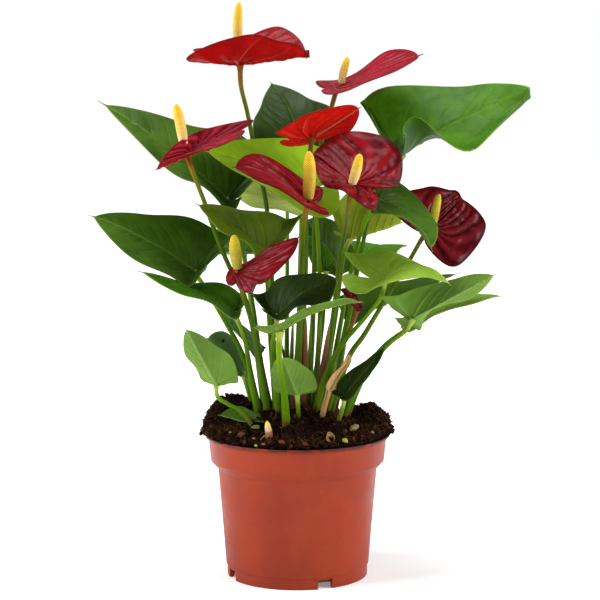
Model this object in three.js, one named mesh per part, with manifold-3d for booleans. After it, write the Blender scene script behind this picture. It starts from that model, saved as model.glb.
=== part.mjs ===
// A potted anthurium: heart-shaped leaves and red flowers on long stalks, in a terracotta
// coloured nursery pot. Millimetres, +Z up. The origin is on the pot's axis at the ground,
// and the plant's front looks along -Y.
import * as THREE from "three";
import Module from "manifold-3d";
import { mergeVertices } from "three/addons/utils/BufferGeometryUtils.js";

const wasm = await Module();
wasm.setup();

// ---- driving dimensions -------------------------------------------------------------
const potHeight = 93;
const lipRadius = 60;
const lipThickness = 1.2;
const bandTopRadius = 57.9;
const bandLowRadius = 56.4;
const bandBottom = 76;
const shoulderBottom = 70.6;
const bodyTopRadius = 51.7;
const bodyLowRadius = 46.6;
const footRadius = 45.8;
const footHeight = 7;
const footWidth = 2.6;
const wall = 1.6;
const floorThickness = 1.8;
const channelHeight = 3;
const channelInner = 30;
const notchCount = 4;
const notchWidth = 10;
const notchHeight = 6;
const notchTurn = 23;
const drainRadius = 3;
const drainCircle = 36.5;
const drainSides = 10;
const edgeStep = 0.7;
const flareHeight = 2.2;
const potSegments = 36;

const gap = 0.3;
const soilClearance = 0.6;
const soilEdge = 91;
const edgeDrop = 2.5;
const moundHeight = 19;
const moundFall = 1.5;
const crumble = 1.2;
const crumbleWave = 0.3;
const rootDepth = 84;
// Each stalk roots at this share of its given distance from the pot's axis.
const rootSpread = 0.85;

const leafThickness = 0.8;
const leafStalk = 3.2;
const flowerStalk = 3.4;
const spadixFoot = 0.72;
const stalkSides = 6;
const spadixSides = 8;
const spadixRings = 6;
const pegSides = 8;

// ---- viewpoint ----------------------------------------------------------------------
// Places on the plant are read as [across, down, depth]: pixels in a 600 pixel square view of
// it, and millimetres behind the pot's axis. This is where that view is taken from.
const eyeDistance = 1200;
const eyeHeight = 321;
const eyeRight = 1.7;
const aimHeight = 180;
const focalPixels = 1868;
const viewMiddle = 300;

const eye = new THREE.Vector3(eyeRight, -eyeDistance, eyeHeight);
const forward = new THREE.Vector3(eyeRight, 0, aimHeight).sub(eye).normalize();
const rightward = new THREE.Vector3(1, 0, 0);
const upward = rightward.clone().cross(forward);

function place([across, down, depth]) {
  const ray = forward.clone()
    .addScaledVector(rightward, (across - viewMiddle) / focalPixels)
    .addScaledVector(upward, (viewMiddle - down) / focalPixels);
  return eye.clone().addScaledVector(ray, (depth + eyeDistance) / ray.y);
}

// ---- colours ------------------------------------------------------------------------
const finish = (color, roughness) => ({ color, roughness, metalness: 0 });
const terracotta = finish(0xad4d31, 0.5);
const peat = finish(0x22140c, 0.95);
const darkLeaf = finish(0x21471b, 0.38);
const midLeaf = finish(0x3a6b22, 0.4);
const brightLeaf = finish(0x5b8c22, 0.42);
const paleLeaf = finish(0x7d9c4a, 0.55);
const brightRed = finish(0xb5161a, 0.3);
const crimson = finish(0x8c1222, 0.26);
const maroon = finish(0x4c0a14, 0.24);
const redStalk = finish(0x7b4a2c, 0.45);
const golden = finish(0xe3a81e, 0.6);
const yellowGreen = finish(0xb9a436, 0.6);
const paleRoot = finish(0xc9b48c, 0.7);
const driedSheath = finish(0xb39a63, 0.75);

// ---- what every blade shares unless it says otherwise -------------------------------
// lobe and sinus: how far the lobes and the notch reach behind the stalk, as a share of the
// length; wide: where the blade is widest; lobeWidth: the lobe's half width there; cup: how
// deep each half sags, in mm; back: moves the whole blade back, in mm.
const bladeShape = {
  lobe: 0.3, wide: 0.12, lobeWidth: 0.5, sinus: 0.03, shoulder: 0.6, cup: [0, 0], back: 0,
};

// left and right: lobe end, widest point, shoulder. stalk: points from the blade down to the
// soil; root: where it enters the soil, [right, back] in mm.
const leaves = {
  leaf_upper_left: {
    base: [226, 199, 0], mid: [165, 146, 0], tip: [98, 101, 10], heel: [243, 188, -2],
    left: [[240, 198, -20], [209, 192, -32], [160, 162, -20]],
    right: [[264, 166, 24], [243, 136, 30], [178, 122, 18]],
    stalk: [[231, 208, 8], [240, 240, 18], [252, 300, 28], [262, 370, 26]],
    root: [-16, 20], look: darkLeaf,
  },
  leaf_mid_left: {
    base: [194, 271, -12], mid: [143, 238, -22], tip: [88, 215, -30], heel: [212, 258, -10],
    left: [[205, 266, -28], [174, 279, -42], [126, 253, -44]],
    right: [[231, 240, 2], [199, 221, 6], [140, 214, -8]],
    stalk: [[203, 285, -6], [223, 318, -4], [243, 356, -2]],
    root: [-24, 1], look: darkLeaf,
  },
  leaf_lower_left: {
    base: [234, 312, -22], mid: [188, 287, -33], tip: [137, 271, -48], back: -8,
    left: [[241, 310, -36], [215, 306, -48], [175, 292, -52]],
    right: [[245, 296, -12], [228, 286, -4], [180, 281, -18]],
    stalk: [[244, 337, -30], [251, 375, -20]],
    root: [-23, -11], look: brightLeaf,
  },
  leaf_small_left: {
    base: [216, 385, -42], tip: [185, 327, -60],
    left: [[232, 382, -38], [234, 362, -40], [211, 342, -48]],
    right: [[213, 380, -36], [197, 370, -32], [184, 350, -42]],
    stalk: [[218, 397, -38], [228, 404, -36], [242, 412, -35]],
    root: [-22, -34], look: paleLeaf, girth: 2.6,
  },
  leaf_spotted: {
    base: [241, 371, 12], tip: [206, 337, 0],
    left: [[246, 368, 22], [238, 348, 26], [222, 331, 18]],
    right: [[243, 374, 0], [228, 366, -8], [212, 352, -6]],
    stalk: [[246, 382, 12]],
    root: [-27, 12], look: darkLeaf, girth: 2.8,
  },
  leaf_on_soil: {
    base: [261, 420, -18], tip: [218, 415, -8], back: -8,
    left: [[262, 421, -20], [253, 421, -24], [236, 420, -21]],
    right: [[260, 417, -16], [250, 410, -9], [236, 407, 0]],
    stalk: [],
    root: [-25, -25], look: darkLeaf, girth: 2.4,
  },
  leaf_centre_left: {
    base: [266, 252, -35], mid: [232, 225, -44], tip: [195, 203, -60],
    left: [[273, 257, -46], [252, 250, -58], [218, 228, -66]],
    right: [[300, 219, -24], [276, 214, -26], [232, 208, -40]],
    stalk: [[267, 275, -24], [268, 300, -14], [272, 360, -14]],
    root: [-13, -11], look: midLeaf,
  },
  leaf_bright_upper: {
    base: [313, 188, 5], mid: [255, 165, 0], tip: [204, 151, -8],
    left: [[339, 195, -8], [288, 202, -26], [238, 172, -24]],
    right: [[335, 150, 18], [304, 141, 22], [240, 140, 8]],
    stalk: [[318, 240, 4], [320, 310, 2]],
    root: [11, -1], look: brightLeaf,
  },
  leaf_pale_inner: {
    base: [302, 205, 32], tip: [228, 187, 36], wide: 0.3,
    left: [[305, 195, 40], [280, 185, 36], [250, 180, 34]],
    right: [[306, 214, 18], [280, 209, 16], [250, 206, 22]],
    stalk: [[300, 260, 28], [298, 340, 22]],
    root: [-5, 21], look: paleLeaf,
  },
  leaf_top_centre: {
    base: [300, 150, 38], mid: [290, 112, 56], tip: [269, 81, 80], back: 10,
    left: [[275, 150, 22], [253, 127, 36], [262, 103, 60]],
    right: [[322, 160, 30], [338, 118, 40], [305, 96, 64]],
    stalk: [[304, 190, 56], [304, 230, 52], [302, 320, 38]],
    root: [2, 31], look: darkLeaf,
  },
  leaf_top_right: {
    base: [403, 155, -8], mid: [464, 117, -2], tip: [530, 88, -12], heel: [384, 138, -4],
    left: [[370, 113, 12], [378, 89, 24], [474, 86, 16]],
    right: [[396, 130, -26], [414, 117, -40], [480, 145, -42]],
    stalk: [[388, 185, 7], [371, 212, 11], [362, 248, 12], [352, 300, 12]],
    root: [22, 9], cup: [0, 5], look: midLeaf,
  },
  leaf_drooping_right: {
    base: [379, 199, -24], mid: [408, 218, -46], tip: [433, 252, -78],
    left: [[378, 180, -5], [402, 184, -10], [437, 225, -48]],
    right: [[372, 205, -32], [391, 214, -46], [422, 231, -66]],
    stalk: [[364, 225, -12], [356, 250, 8], [345, 300, 5]],
    root: [17, 2], look: darkLeaf,
  },
  leaf_yellow_inner: {
    base: [350, 239, 12], tip: [404, 222, 30], heel: [336, 226, 12], back: 12,
    left: [[334, 231, 30], [366, 235, 34], [390, 227, 40]],
    right: [[332, 214, -5], [348, 192, -12], [385, 195, 0]],
    stalk: [[345, 250, 22], [335, 320, 20]],
    root: [13, 17], look: brightLeaf,
  },
  leaf_mid_right: {
    base: [386, 278, -38], mid: [421, 267, -56], tip: [451, 286, -78], heel: [352, 268, -28],
    left: [[345, 254, -10], [378, 250, -6], [428, 267, -42]],
    right: [[343, 276, -46], [376, 287, -62], [428, 278, -82]],
    stalk: [[381, 297, -36], [364, 319, -31], [341, 346, -26], [326, 375, -21]],
    root: [7, -17], lobe: 0.5, lobeWidth: 0.6, sinus: 0.2, look: midLeaf,
  },
  leaf_pale_right: {
    base: [413, 319, -32], tip: [498, 273, -45], back: -12,
    left: [[410, 322, -20], [430, 312, -22], [474, 296, -30]],
    right: [[384, 300, -28], [414, 289, -24], [462, 277, -26]],
    stalk: [[407, 329, -44], [390, 343, -36], [377, 357, -24], [357, 386, -9]],
    root: [25, -4], look: paleLeaf,
  },
  leaf_low_right: {
    base: [411, 327, -20], mid: [456, 305, -10], tip: [505, 296, -8], back: 14,
    left: [[395, 318, -2], [425, 307, 10], [472, 295, 8]],
    right: [[402, 327, -31], [430, 319, -33], [474, 303, -28]],
    stalk: [[400, 334, -5], [383, 347, -3], [366, 372, -1]],
    root: [28, 5], look: midLeaf,
  },
  leaf_centre_front: {
    base: [278, 316, -58], mid: [306, 291, -68], tip: [340, 278, -84], back: 12,
    left: [[251, 294, -46], [274, 281, -40], [312, 274, -56]],
    right: [[263, 309, -66], [294, 309, -86], [330, 300, -92]],
    stalk: [[275, 330, -36], [272, 350, -30], [275, 380, -26]],
    root: [-12, -21], look: darkLeaf,
  },
  leaf_front: {
    base: [280, 331, -66], mid: [320, 310, -74], tip: [363, 302, -84], back: -8,
    left: [[254, 328, -52], [288, 327, -44], [330, 306, -60]],
    right: [[256, 326, -78], [294, 314, -90], [336, 300, -96]],
    stalk: [[279, 348, -74], [280, 368, -67], [284, 392, -52]],
    root: [-7, -29], look: midLeaf, girth: 4.2,
  },
  leaf_small_front: {
    base: [297, 394, -38], tip: [281, 356, -56],
    left: [[305, 393, -32], [315, 378, -38], [300, 363, -48]],
    right: [[283, 393, -38], [271, 378, -44], [274, 364, -52]],
    stalk: [[298, 406, -34]],
    root: [2, -25], look: paleLeaf, girth: 2.6,
  },
  leaf_small_right: {
    base: [344, 397, -25], tip: [387, 346, -40], heel: [332, 394, -24], back: -10,
    left: [[328, 389, -18], [345, 376, -12], [368, 358, -26]],
    right: [[337, 397, -34], [358, 389, -44], [372, 373, -46]],
    stalk: [[343, 406, -33]],
    root: [22, -27], look: darkLeaf, girth: 2.6,
  },
  leaf_inner_left: {
    base: [258, 353, 14], tip: [221, 311, 6],
    left: [[260, 356, 8], [247, 347, 4], [232, 328, 2]],
    right: [[265, 348, 20], [256, 338, 22], [238, 322, 14]],
    stalk: [[262, 375, 14]],
    root: [-18, 10], look: darkLeaf, girth: 2.8,
  },
  leaf_back_right: {
    base: [352, 318, 18], tip: [461, 272, 14], back: 20,
    left: [[338, 300, 30], [360, 286, 34], [410, 280, 26]],
    right: [[345, 318, 2], [372, 312, 0], [415, 292, 4]],
    stalk: [[345, 340, 34], [336, 380, 26]],
    root: [17, 22], look: darkLeaf,
  },
  leaf_back_centre: {
    base: [338, 276, 48], tip: [306, 217, 70],
    left: [[320, 270, 42], [312, 252, 52], [303, 230, 64]],
    right: [[350, 268, 44], [352, 245, 48], [332, 220, 62]],
    stalk: [[336, 300, 48], [331, 340, 38]],
    root: [10, 28], look: darkLeaf, girth: 2.8,
  },
  leaf_back_inner: {
    base: [326, 271, 28], tip: [305, 235, 38],
    left: [[318, 268, 26], [309, 256, 28], [304, 244, 36]],
    right: [[331, 265, 30], [329, 250, 34], [318, 240, 38]],
    stalk: [[322, 330, 24]],
    root: [5, 20], look: midLeaf, girth: 2.8,
  },
};

// Leaves behind the others, out of that view. Their places are [right, back, up] in mm.
const rearLeaves = {
  leaf_rear_upper: {
    base: [-8, 66, 252], mid: [-14, 98, 268], tip: [-20, 132, 258],
    left: [[-18, 60, 256], [-38, 76, 262], [-38, 104, 268]],
    right: [[1, 64, 255], [16, 84, 264], [6, 110, 270]],
    stalk: [[-7, 58, 236], [-7, 42, 170]],
    root: [-9, 39], look: midLeaf, girth: 3,
  },
  leaf_rear_left: {
    base: [-36, 50, 206], mid: [-54, 76, 218], tip: [-76, 100, 212],
    left: [[-38, 34, 210], [-66, 52, 212], [-78, 74, 218]],
    right: [[-20, 48, 209], [-26, 78, 216], [-46, 98, 218]],
    stalk: [[-34, 46, 194], [-27, 34, 140]],
    root: [-22, 27], look: darkLeaf,
  },
  leaf_rear_right: {
    base: [40, 66, 196], mid: [54, 94, 207], tip: [66, 124, 200],
    left: [[26, 56, 200], [22, 80, 206], [36, 106, 209]],
    right: [[54, 52, 199], [68, 70, 205], [76, 96, 207]],
    stalk: [[38, 60, 184], [29, 44, 140]],
    root: [21, 30], look: midLeaf,
  },
};

// A flower is a stalk, a spathe (the red blade) and a spadix (the spike of tiny flowers, from
// its foot to its top). girth: the spadix's width in mm.
const flowers = {
  top: {
    base: [240, 64, 0], mid: [274, 59, -2], tip: [309, 50, -6], heel: [208, 57, 2],
    left: [[196, 52, 14], [240, 40, 28], [283, 28, 22]],
    right: [[190, 54, -8], [247, 35, -30], [284, 42, -28]],
    stalk: [
      [241, 86, 3], [247, 111, 9], [253, 141, 17], [259, 170, 14], [266, 203, 8],
      [271, 260, 4], [273, 340, 2],
    ],
    root: [-11, 1], lobe: 0.65, sinus: 0.25, cup: [0, 5],
    spadix: [[239, 60, 0], [239, 2, 0]], girth: 6.2, look: brightRed, spike: golden,
  },
  upper_right: {
    base: [337, 88, 14], mid: [378, 72, 10], tip: [423, 54, 4],
    left: [[316, 83, 30], [352, 75, 36], [392, 50, 24]],
    right: [[322, 92, -2], [362, 84, -10], [402, 68, -8]],
    stalk: [
      [331, 109, 22], [323, 135, 31], [317, 175, 32], [315, 212, 22], [314, 273, 10],
      [312, 340, 8],
    ],
    root: [5, 9], sinus: 0.15,
    spadix: [[341, 84, 14], [348, 57, 14]], girth: 5, look: crimson, spike: golden,
  },
  left: {
    base: [187, 155, -30], tip: [155, 170, -78],
    left: [[244, 133, -34], [198, 152, -54], [168, 161, -68]],
    right: [[253, 121, -6], [205, 129, -8], [172, 147, -46]],
    stalk: [
      [192, 170, -38], [204, 201, -42], [218, 240, -36], [230, 268, -32], [243, 293, -32],
      [251, 320, -24], [261, 375, -9],
    ],
    root: [-17, -4], lobe: 0.85, sinus: 0.7,
    spadix: [[185, 150, -30], [176, 104, -30]], girth: 6.5, look: crimson, spike: golden,
  },
  red_behind: {
    base: [312, 138, 10], tip: [361, 107, -2], heel: [287, 137, 8], back: -14,
    left: [[281, 141, 10], [324, 139, 14], [352, 129, 0]],
    right: [[278, 134, -5], [300, 118, -12], [340, 106, -14]],
    stalk: [[309, 162, -14], [308, 190, -28], [306, 215, -29], [306, 260, -24], [303, 330, -16]],
    root: [1, -7], lobe: 0.8, sinus: 0.3,
    spadix: [[311, 138, 12], [309, 114, 18]], girth: 4.6, look: brightRed, spike: golden,
  },
  big_dark: {
    base: [352, 184, -40], tip: [311, 152, -14], heel: [381, 190, -36], back: -10,
    left: [[378, 203, -44], [344, 191, -56], [321, 182, -32]],
    right: [[394, 187, -28], [392, 142, -20], [346, 132, -14]],
    stalk: [[348, 209, -44], [345, 228, -30], [340, 255, -6], [334, 310, -3]],
    root: [12, -8], lobe: 0.8, sinus: 0.5,
    spadix: [[352, 184, -42], [360, 154, -50]], girth: 6.2, look: crimson, spike: golden,
  },
  dark_left: {
    base: [307, 201, -45], mid: [268, 176, -54], tip: [232, 167, -66], heel: [322, 203, -45], back: -22,
    left: [[328, 211, -60], [287, 194, -72], [253, 178, -74]],
    right: [[323, 193, -32], [296, 174, -26], [256, 154, -44]],
    stalk: [[303, 235, -52], [302, 268, -34], [300, 330, -26]],
    root: [-2, -16],
    spadix: [[308, 200, -46], [309, 151, -47]], girth: 7.6, look: crimson, spike: golden,
  },
  right_dark: {
    base: [433, 227, -32], tip: [463, 197, -18], heel: [417, 237, -40], back: 30,
    left: [[395, 214, -36], [428, 187, -20], [452, 190, -16]],
    right: [[435, 256, -46], [474, 250, -36], [485, 222, -24]],
    stalk: [
      [424, 236, 2], [409, 261, 8], [394, 285, 6], [376, 315, -2], [364, 335, -8],
      [349, 357, -12],
    ],
    root: [18, -10], lobe: 0.8, sinus: 0.3,
    spadix: [[433, 225, -33], [439, 194, -42]], girth: 5.6, look: maroon, spike: yellowGreen,
  },
  low_left: {
    base: [239, 270, -70], mid: [266, 258, -76], tip: [302, 235, -84], heel: [236, 289, -80],
    left: [[229, 285, -75], [243, 264, -61], [276, 244, -72]],
    right: [[247, 293, -86], [262, 284, -92], [287, 261, -92]],
    stalk: [[242, 292, -60], [248, 310, -45], [253, 328, -33], [258, 352, -26]],
    root: [-18, -16], sinus: 0.2,
    spadix: [[238, 269, -70], [234, 235, -75]], girth: 7, look: crimson, spike: yellowGreen,
  },
};

// A withered bud, its bract still rolled, on a thin stalk.
const bud = {
  base: [357, 310, -16], tip: [340, 289, -16],
  left: [[359, 312, -18], [350, 300, -20], [344, 294, -19]],
  right: [[361, 308, -14], [356, 298, -12], [348, 291, -13]],
  stalk: [[352, 325, -16], [345, 341, -16], [338, 375, -16]],
  root: [13, -14], girth: 2.6,
};

// A cut hollow stem, a pale root tip and a dry papery sheath, each standing in the peat.
const stub = { root: [21, -42], top: [331, 437, -43], radius: 2.6, bore: 1.4, boreDepth: 7 };
const nub = { root: [-20, -46], top: [267, 421, -46], radius: 2.4 };
const sheath = {
  base: [331, 388, -33], tip: [350, 352, -37],
  left: [[329, 389, -33], [332, 376, -35], [344, 362, -38]],
  right: [[334, 389, -33], [341, 374, -33], [350, 361, -36]],
  stalk: [[326, 405, -31]],
  root: [14, -26], girth: 2.4,
};

// ---- small helpers ------------------------------------------------------------------
const real = (p) => new THREE.Vector3(...p);
const mix = (a, b, t) => a.clone().lerp(b, t);
const rootPoint = ([right, back]) => {
  return new THREE.Vector3(rootSpread * right, rootSpread * back, rootDepth);
};

// A blade's written places as points. toPoint reads one of them.
function settle(written, toPoint) {
  const spec = { ...bladeShape, ...written };
  const onBlade = ([a, b, c]) => toPoint([a, b, c + spec.back]);
  const middle = mix(onBlade(spec.base), onBlade(spec.tip), 0.5);
  const [left, right] = [spec.left.map(onBlade), spec.right.map(onBlade)];
  return {
    ...spec,
    left,
    right,
    base: onBlade(spec.base),
    tip: onBlade(spec.tip),
    mid: spec.mid ? onBlade(spec.mid) : middle,
    heel: spec.heel ? onBlade(spec.heel) : mix(left[0], right[0], 0.5),
    stalk: spec.stalk.map(toPoint),
    spadix: spec.spadix ? spec.spadix.map(onBlade) : null,
    root: rootPoint(spec.root),
  };
}

// A closed triangle mesh being built: points and faces, facing out.
function newShell() {
  return { points: [], faces: [] };
}

function addQuad(shell, a, b, c, d) {
  shell.faces.push(a, b, c, a, c, d);
}

// Shell to a solid that can be joined and cut.
function toSolid(shell) {
  const vertProperties = new Float32Array(shell.points.flatMap((p) => [p.x, p.y, p.z]));
  const triVerts = new Uint32Array(shell.faces);
  return new wasm.Manifold(new wasm.Mesh({ numProp: 3, vertProperties, triVerts }));
}

// The largest body of a solid, for cuts that leave a crumb.
function largest(solid) {
  const bodies = solid.decompose();
  return bodies.reduce((best, body) => (body.volume() > best.volume() ? body : best));
}

// A closed shape as a solid. Points that coincide become one, and faces that this closes up go.
function shapeSolid(geometry) {
  const bare = new THREE.BufferGeometry();
  bare.setAttribute("position", geometry.attributes.position);
  bare.setIndex(geometry.index);
  const merged = mergeVertices(bare);
  const corners = Array.from(merged.index.array);
  const shell = newShell();
  for (let i = 0; i < merged.attributes.position.count; i += 1) {
    shell.points.push(new THREE.Vector3().fromBufferAttribute(merged.attributes.position, i));
  }
  for (let i = 0; i < corners.length; i += 3) {
    const [a, b, c] = corners.slice(i, i + 3);
    if (a !== b && b !== c && a !== c) {
      shell.faces.push(a, b, c);
    }
  }
  return toSolid(shell);
}

// Stands a shape that was made round the Y axis at foot, pointing towards top.
function standAlong(geometry, foot, top) {
  const direction = top.clone().sub(foot).normalize();
  const turn = new THREE.Quaternion().setFromUnitVectors(new THREE.Vector3(0, 1, 0), direction);
  return geometry.applyQuaternion(turn).translate(foot.x, foot.y, foot.z);
}

// A mesh stands at its own place, and its geometry is kept around that place.
function makeMesh(name, solid, look, stand) {
  const data = solid.getMesh();
  const geometry = new THREE.BufferGeometry();
  geometry.setAttribute("position", new THREE.BufferAttribute(data.vertProperties, 3));
  geometry.setIndex(new THREE.BufferAttribute(data.triVerts, 1));
  geometry.translate(-stand.x, -stand.y, -stand.z);
  const mesh = new THREE.Mesh(geometry, new THREE.MeshStandardMaterial(look));
  mesh.name = name;
  mesh.position.copy(stand);
  return mesh;
}

// ---- blades: leaves and spathes -----------------------------------------------------
// Half of the flat heart, from the tip to the notch. Length 1 along x, half width 1 in y.
function halfOutline({ lobe, wide, lobeWidth, sinus }, counts) {
  const curves = [
    [[1, 0], [0.88, 0.16], [wide + 0.45, 1], [wide, 1]],
    [[wide, 1], [wide - 0.6 * (lobe + wide), 1], [-lobe, lobeWidth + 0.38], [-lobe, lobeWidth]],
    [[-lobe, lobeWidth], [-lobe, lobeWidth * 0.4], [-(lobe + sinus) / 2, 0.05], [-sinus, 0]],
  ];
  const points = [];
  curves.forEach((corners, i) => {
    const ends = corners.map((c) => new THREE.Vector2(...c));
    const run = new THREE.CubicBezierCurve(...ends).getPoints(counts[i]);
    points.push(...(i === 0 ? run : run.slice(1)));
  });
  return points;
}

// How wide the flat heart is at x, 1 where it is widest.
function halfWidthAt(spec, x) {
  if (x <= spec.wide) {
    return 1;
  }
  const edge = halfOutline(spec, [40, 1, 1]);
  const i = edge.findIndex((p) => p.x <= x);
  if (i < 1) {
    return 0.001;
  }
  const [a, b] = [edge[i - 1], edge[i]];
  return THREE.MathUtils.lerp(a.y, b.y, (a.x - x) / (a.x - b.x));
}

// The midrib in front of the stalk, and the line between the lobes behind it.
function makeMidrib({ base, tip, mid, heel, lobe }) {
  const control = mid.clone().multiplyScalar(2).sub(mix(base, tip, 0.5));
  const ahead = new THREE.QuadraticBezierCurve3(base, control, tip);
  const behind = base.clone().sub(heel).divideScalar(lobe);
  const start = control.clone().sub(base).addScaledVector(behind, 0.5);
  const bend = heel.clone().sub(base).addScaledVector(start, lobe);
  return (t) => {
    if (t >= 0) {
      return ahead.getPoint(t);
    }
    const s = -t / lobe;
    return base.clone().addScaledVector(start, t).addScaledVector(bend, s * s);
  };
}

// From the midrib to the margin: known at the lobe, the widest place and the shoulder, with a
// smooth curve through them in between.
function makeReach(spec, midrib, marks) {
  const { lobe, wide, shoulder } = spec;
  const width = halfWidthAt(spec, shoulder);
  const stops = [
    [-lobe, marks[0].clone().sub(spec.heel).divideScalar(spec.lobeWidth)],
    [wide, marks[1].clone().sub(midrib(wide))],
    [shoulder, marks[2].clone().sub(midrib(shoulder)).divideScalar(width)],
  ];
  const slope = (i) => {
    const run = stops[i + 1][0] - stops[i][0];
    return stops[i + 1][1].clone().sub(stops[i][1]).divideScalar(run);
  };
  const turns = [slope(0), mix(slope(0), slope(1), 0.5), new THREE.Vector3()];
  return (t) => {
    const x = THREE.MathUtils.clamp(t, -lobe, shoulder);
    const i = x <= wide ? 0 : 1;
    const h = stops[i + 1][0] - stops[i][0];
    const u = (x - stops[i][0]) / h;
    return new THREE.Vector3()
      .addScaledVector(stops[i][1], 2 * u ** 3 - 3 * u ** 2 + 1)
      .addScaledVector(turns[i], h * (u ** 3 - 2 * u ** 2 + u))
      .addScaledVector(stops[i + 1][1], 3 * u ** 2 - 2 * u ** 3)
      .addScaledVector(turns[i + 1], h * (u ** 3 - u ** 2));
  };
}

// The blade's middle surface: a centre at the stalk and rings out to the margin.
function bladeSurface(spec, counts, rings) {
  const midrib = makeMidrib(spec);
  const reachLeft = makeReach(spec, midrib, spec.left);
  const reachRight = makeReach(spec, midrib, spec.right);
  const along = spec.tip.clone().sub(spec.base).normalize();
  const across = reachLeft(spec.wide).normalize().sub(reachRight(spec.wide).normalize());
  across.addScaledVector(along, -across.dot(along)).normalize();
  const up = along.clone().cross(across);
  const spot = (x, y, isLeft) => {
    const share = Math.min(1, y / Math.max(halfWidthAt(spec, x), 0.001));
    const sag = spec.cup[isLeft ? 0 : 1] * 4 * share * (1 - share);
    const reach = isLeft ? reachLeft(x) : reachRight(x);
    return midrib(x).addScaledVector(reach, y).addScaledVector(up, -sag);
  };
  const half = halfOutline(spec, counts);
  const loop = [
    ...half.map((p) => [p.x, p.y, true]),
    ...half.slice(1, -1).reverse().map((p) => [p.x, p.y, false]),
  ];
  const rows = [];
  for (let r = 1; r <= rings; r += 1) {
    const share = r / rings;
    rows.push(loop.map(([x, y, isLeft]) => spot(x * share, y * share, isLeft)));
  }
  return { centre: spec.base.clone(), rows, up };
}

// The direction the surface faces at each of its points.
function surfaceNormals({ centre, rows, up }) {
  return rows.map((row, r) => row.map((p, i) => {
    const inner = r === 0 ? centre : rows[r - 1][i];
    const outer = r === rows.length - 1 ? p : rows[r + 1][i];
    const next = row[(i + 1) % row.length];
    const before = row[(i + row.length - 1) % row.length];
    const normal = outer.clone().sub(inner).cross(next.clone().sub(before)).normalize();
    return normal.lengthSq() > 0.5 ? normal : up.clone();
  }));
}

// A thin solid around the surface. Rows run anticlockwise seen from the upper side. Both sides are
// folded along the same diagonals, so that they stay apart where the blade bends.
function bladeShell(surface, thickness) {
  const { centre, rows, up } = surface;
  const count = rows[0].length;
  const normals = surfaceNormals(surface);
  const shell = newShell();
  const layer = (sign) => {
    const start = shell.points.length;
    const lift = (sign * thickness) / 2;
    shell.points.push(centre.clone().addScaledVector(up, lift));
    rows.forEach((row, r) => row.forEach((p, i) => {
      shell.points.push(p.clone().addScaledVector(normals[r][i], lift));
    }));
    const id = (r, i) => start + 1 + r * count + (i % count);
    for (let i = 0; i < count; i += 1) {
      const faces = [start, id(0, i), id(0, i + 1)];
      for (let r = 0; r + 1 < rows.length; r += 1) {
        const [a, b, c, d] = [id(r, i), id(r + 1, i), id(r + 1, i + 1), id(r, i + 1)];
        faces.push(a, b, c, a, c, d);
      }
      shell.faces.push(...(sign > 0 ? faces : faces.reverse()));
    }
    return id;
  };
  const top = layer(1);
  const under = layer(-1);
  const rim = rows.length - 1;
  for (let i = 0; i < count; i += 1) {
    addQuad(shell, top(rim, i), under(rim, i), under(rim, i + 1), top(rim, i + 1));
  }
  return shell;
}

function bladeSolid(spec, thickness = leafThickness, counts = [4, 3, 2], rings = 2) {
  return toSolid(bladeShell(bladeSurface(spec, counts, rings), thickness));
}

// ---- stalks and spikes --------------------------------------------------------------
// The stalk, from its root in the soil to the blade. extra widens it, for its pocket.
function stalkSolid(spec, girth, extra = 0) {
  const foot = spec.root.clone().setZ(rootDepth - extra);
  const points = [foot, ...spec.stalk.slice().reverse(), spec.base];
  const extrudePath = new THREE.CatmullRomCurve3(points, false, "centripetal");
  const corners = [];
  for (let i = 0; i < stalkSides; i += 1) {
    const a = (2 * Math.PI * i) / stalkSides;
    corners.push(new THREE.Vector2(Math.cos(a), Math.sin(a)).multiplyScalar(girth / 2 + extra));
  }
  const steps = Math.max(3, points.length + 1);
  return shapeSolid(new THREE.ExtrudeGeometry(new THREE.Shape(corners), { steps, extrudePath }));
}

// The spike: narrower at the foot, widest at the middle and rounded off at the top.
function spadixSolid(spec) {
  const [foot, top] = spec.spadix;
  const long = foot.distanceTo(top);
  const profile = [new THREE.Vector2(0, 0)];
  for (let i = 0; i < spadixRings; i += 1) {
    const t = i / spadixRings;
    const swell = THREE.MathUtils.lerp(spadixFoot, 1, Math.sin(Math.PI * t));
    profile.push(new THREE.Vector2((spec.girth / 2) * swell * Math.sqrt(1 - t ** 7), t * long));
  }
  profile.push(new THREE.Vector2(0, long));
  return shapeSolid(standAlong(new THREE.LatheGeometry(profile, spadixSides), foot, top));
}

// ---- pot ----------------------------------------------------------------------------
const floorTop = channelHeight + floorThickness;
const potOuter = [
  [0, 0], [channelInner, 0], [channelInner + 1, channelHeight],
  [footRadius - footWidth - 1, channelHeight], [footRadius - footWidth, 0],
  [footRadius, 0], [footRadius, footHeight], [bodyLowRadius, footHeight + edgeStep],
  [bodyTopRadius, shoulderBottom], [bandLowRadius - edgeStep, bandBottom - edgeStep],
  [bandLowRadius, bandBottom], [bandTopRadius, potHeight - flareHeight],
  [lipRadius, potHeight - lipThickness], [lipRadius, potHeight],
];
const potInner = [
  [bandTopRadius - wall + gap, potHeight - edgeStep],
  [bandTopRadius - wall, potHeight - flareHeight - edgeStep],
  [bandLowRadius - wall, bandBottom + edgeStep],
  [bodyTopRadius - wall, shoulderBottom + edgeStep],
  [bodyLowRadius - wall, footHeight + flareHeight], [bodyLowRadius - 2 * wall, floorTop],
  [0, floorTop],
];

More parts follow.
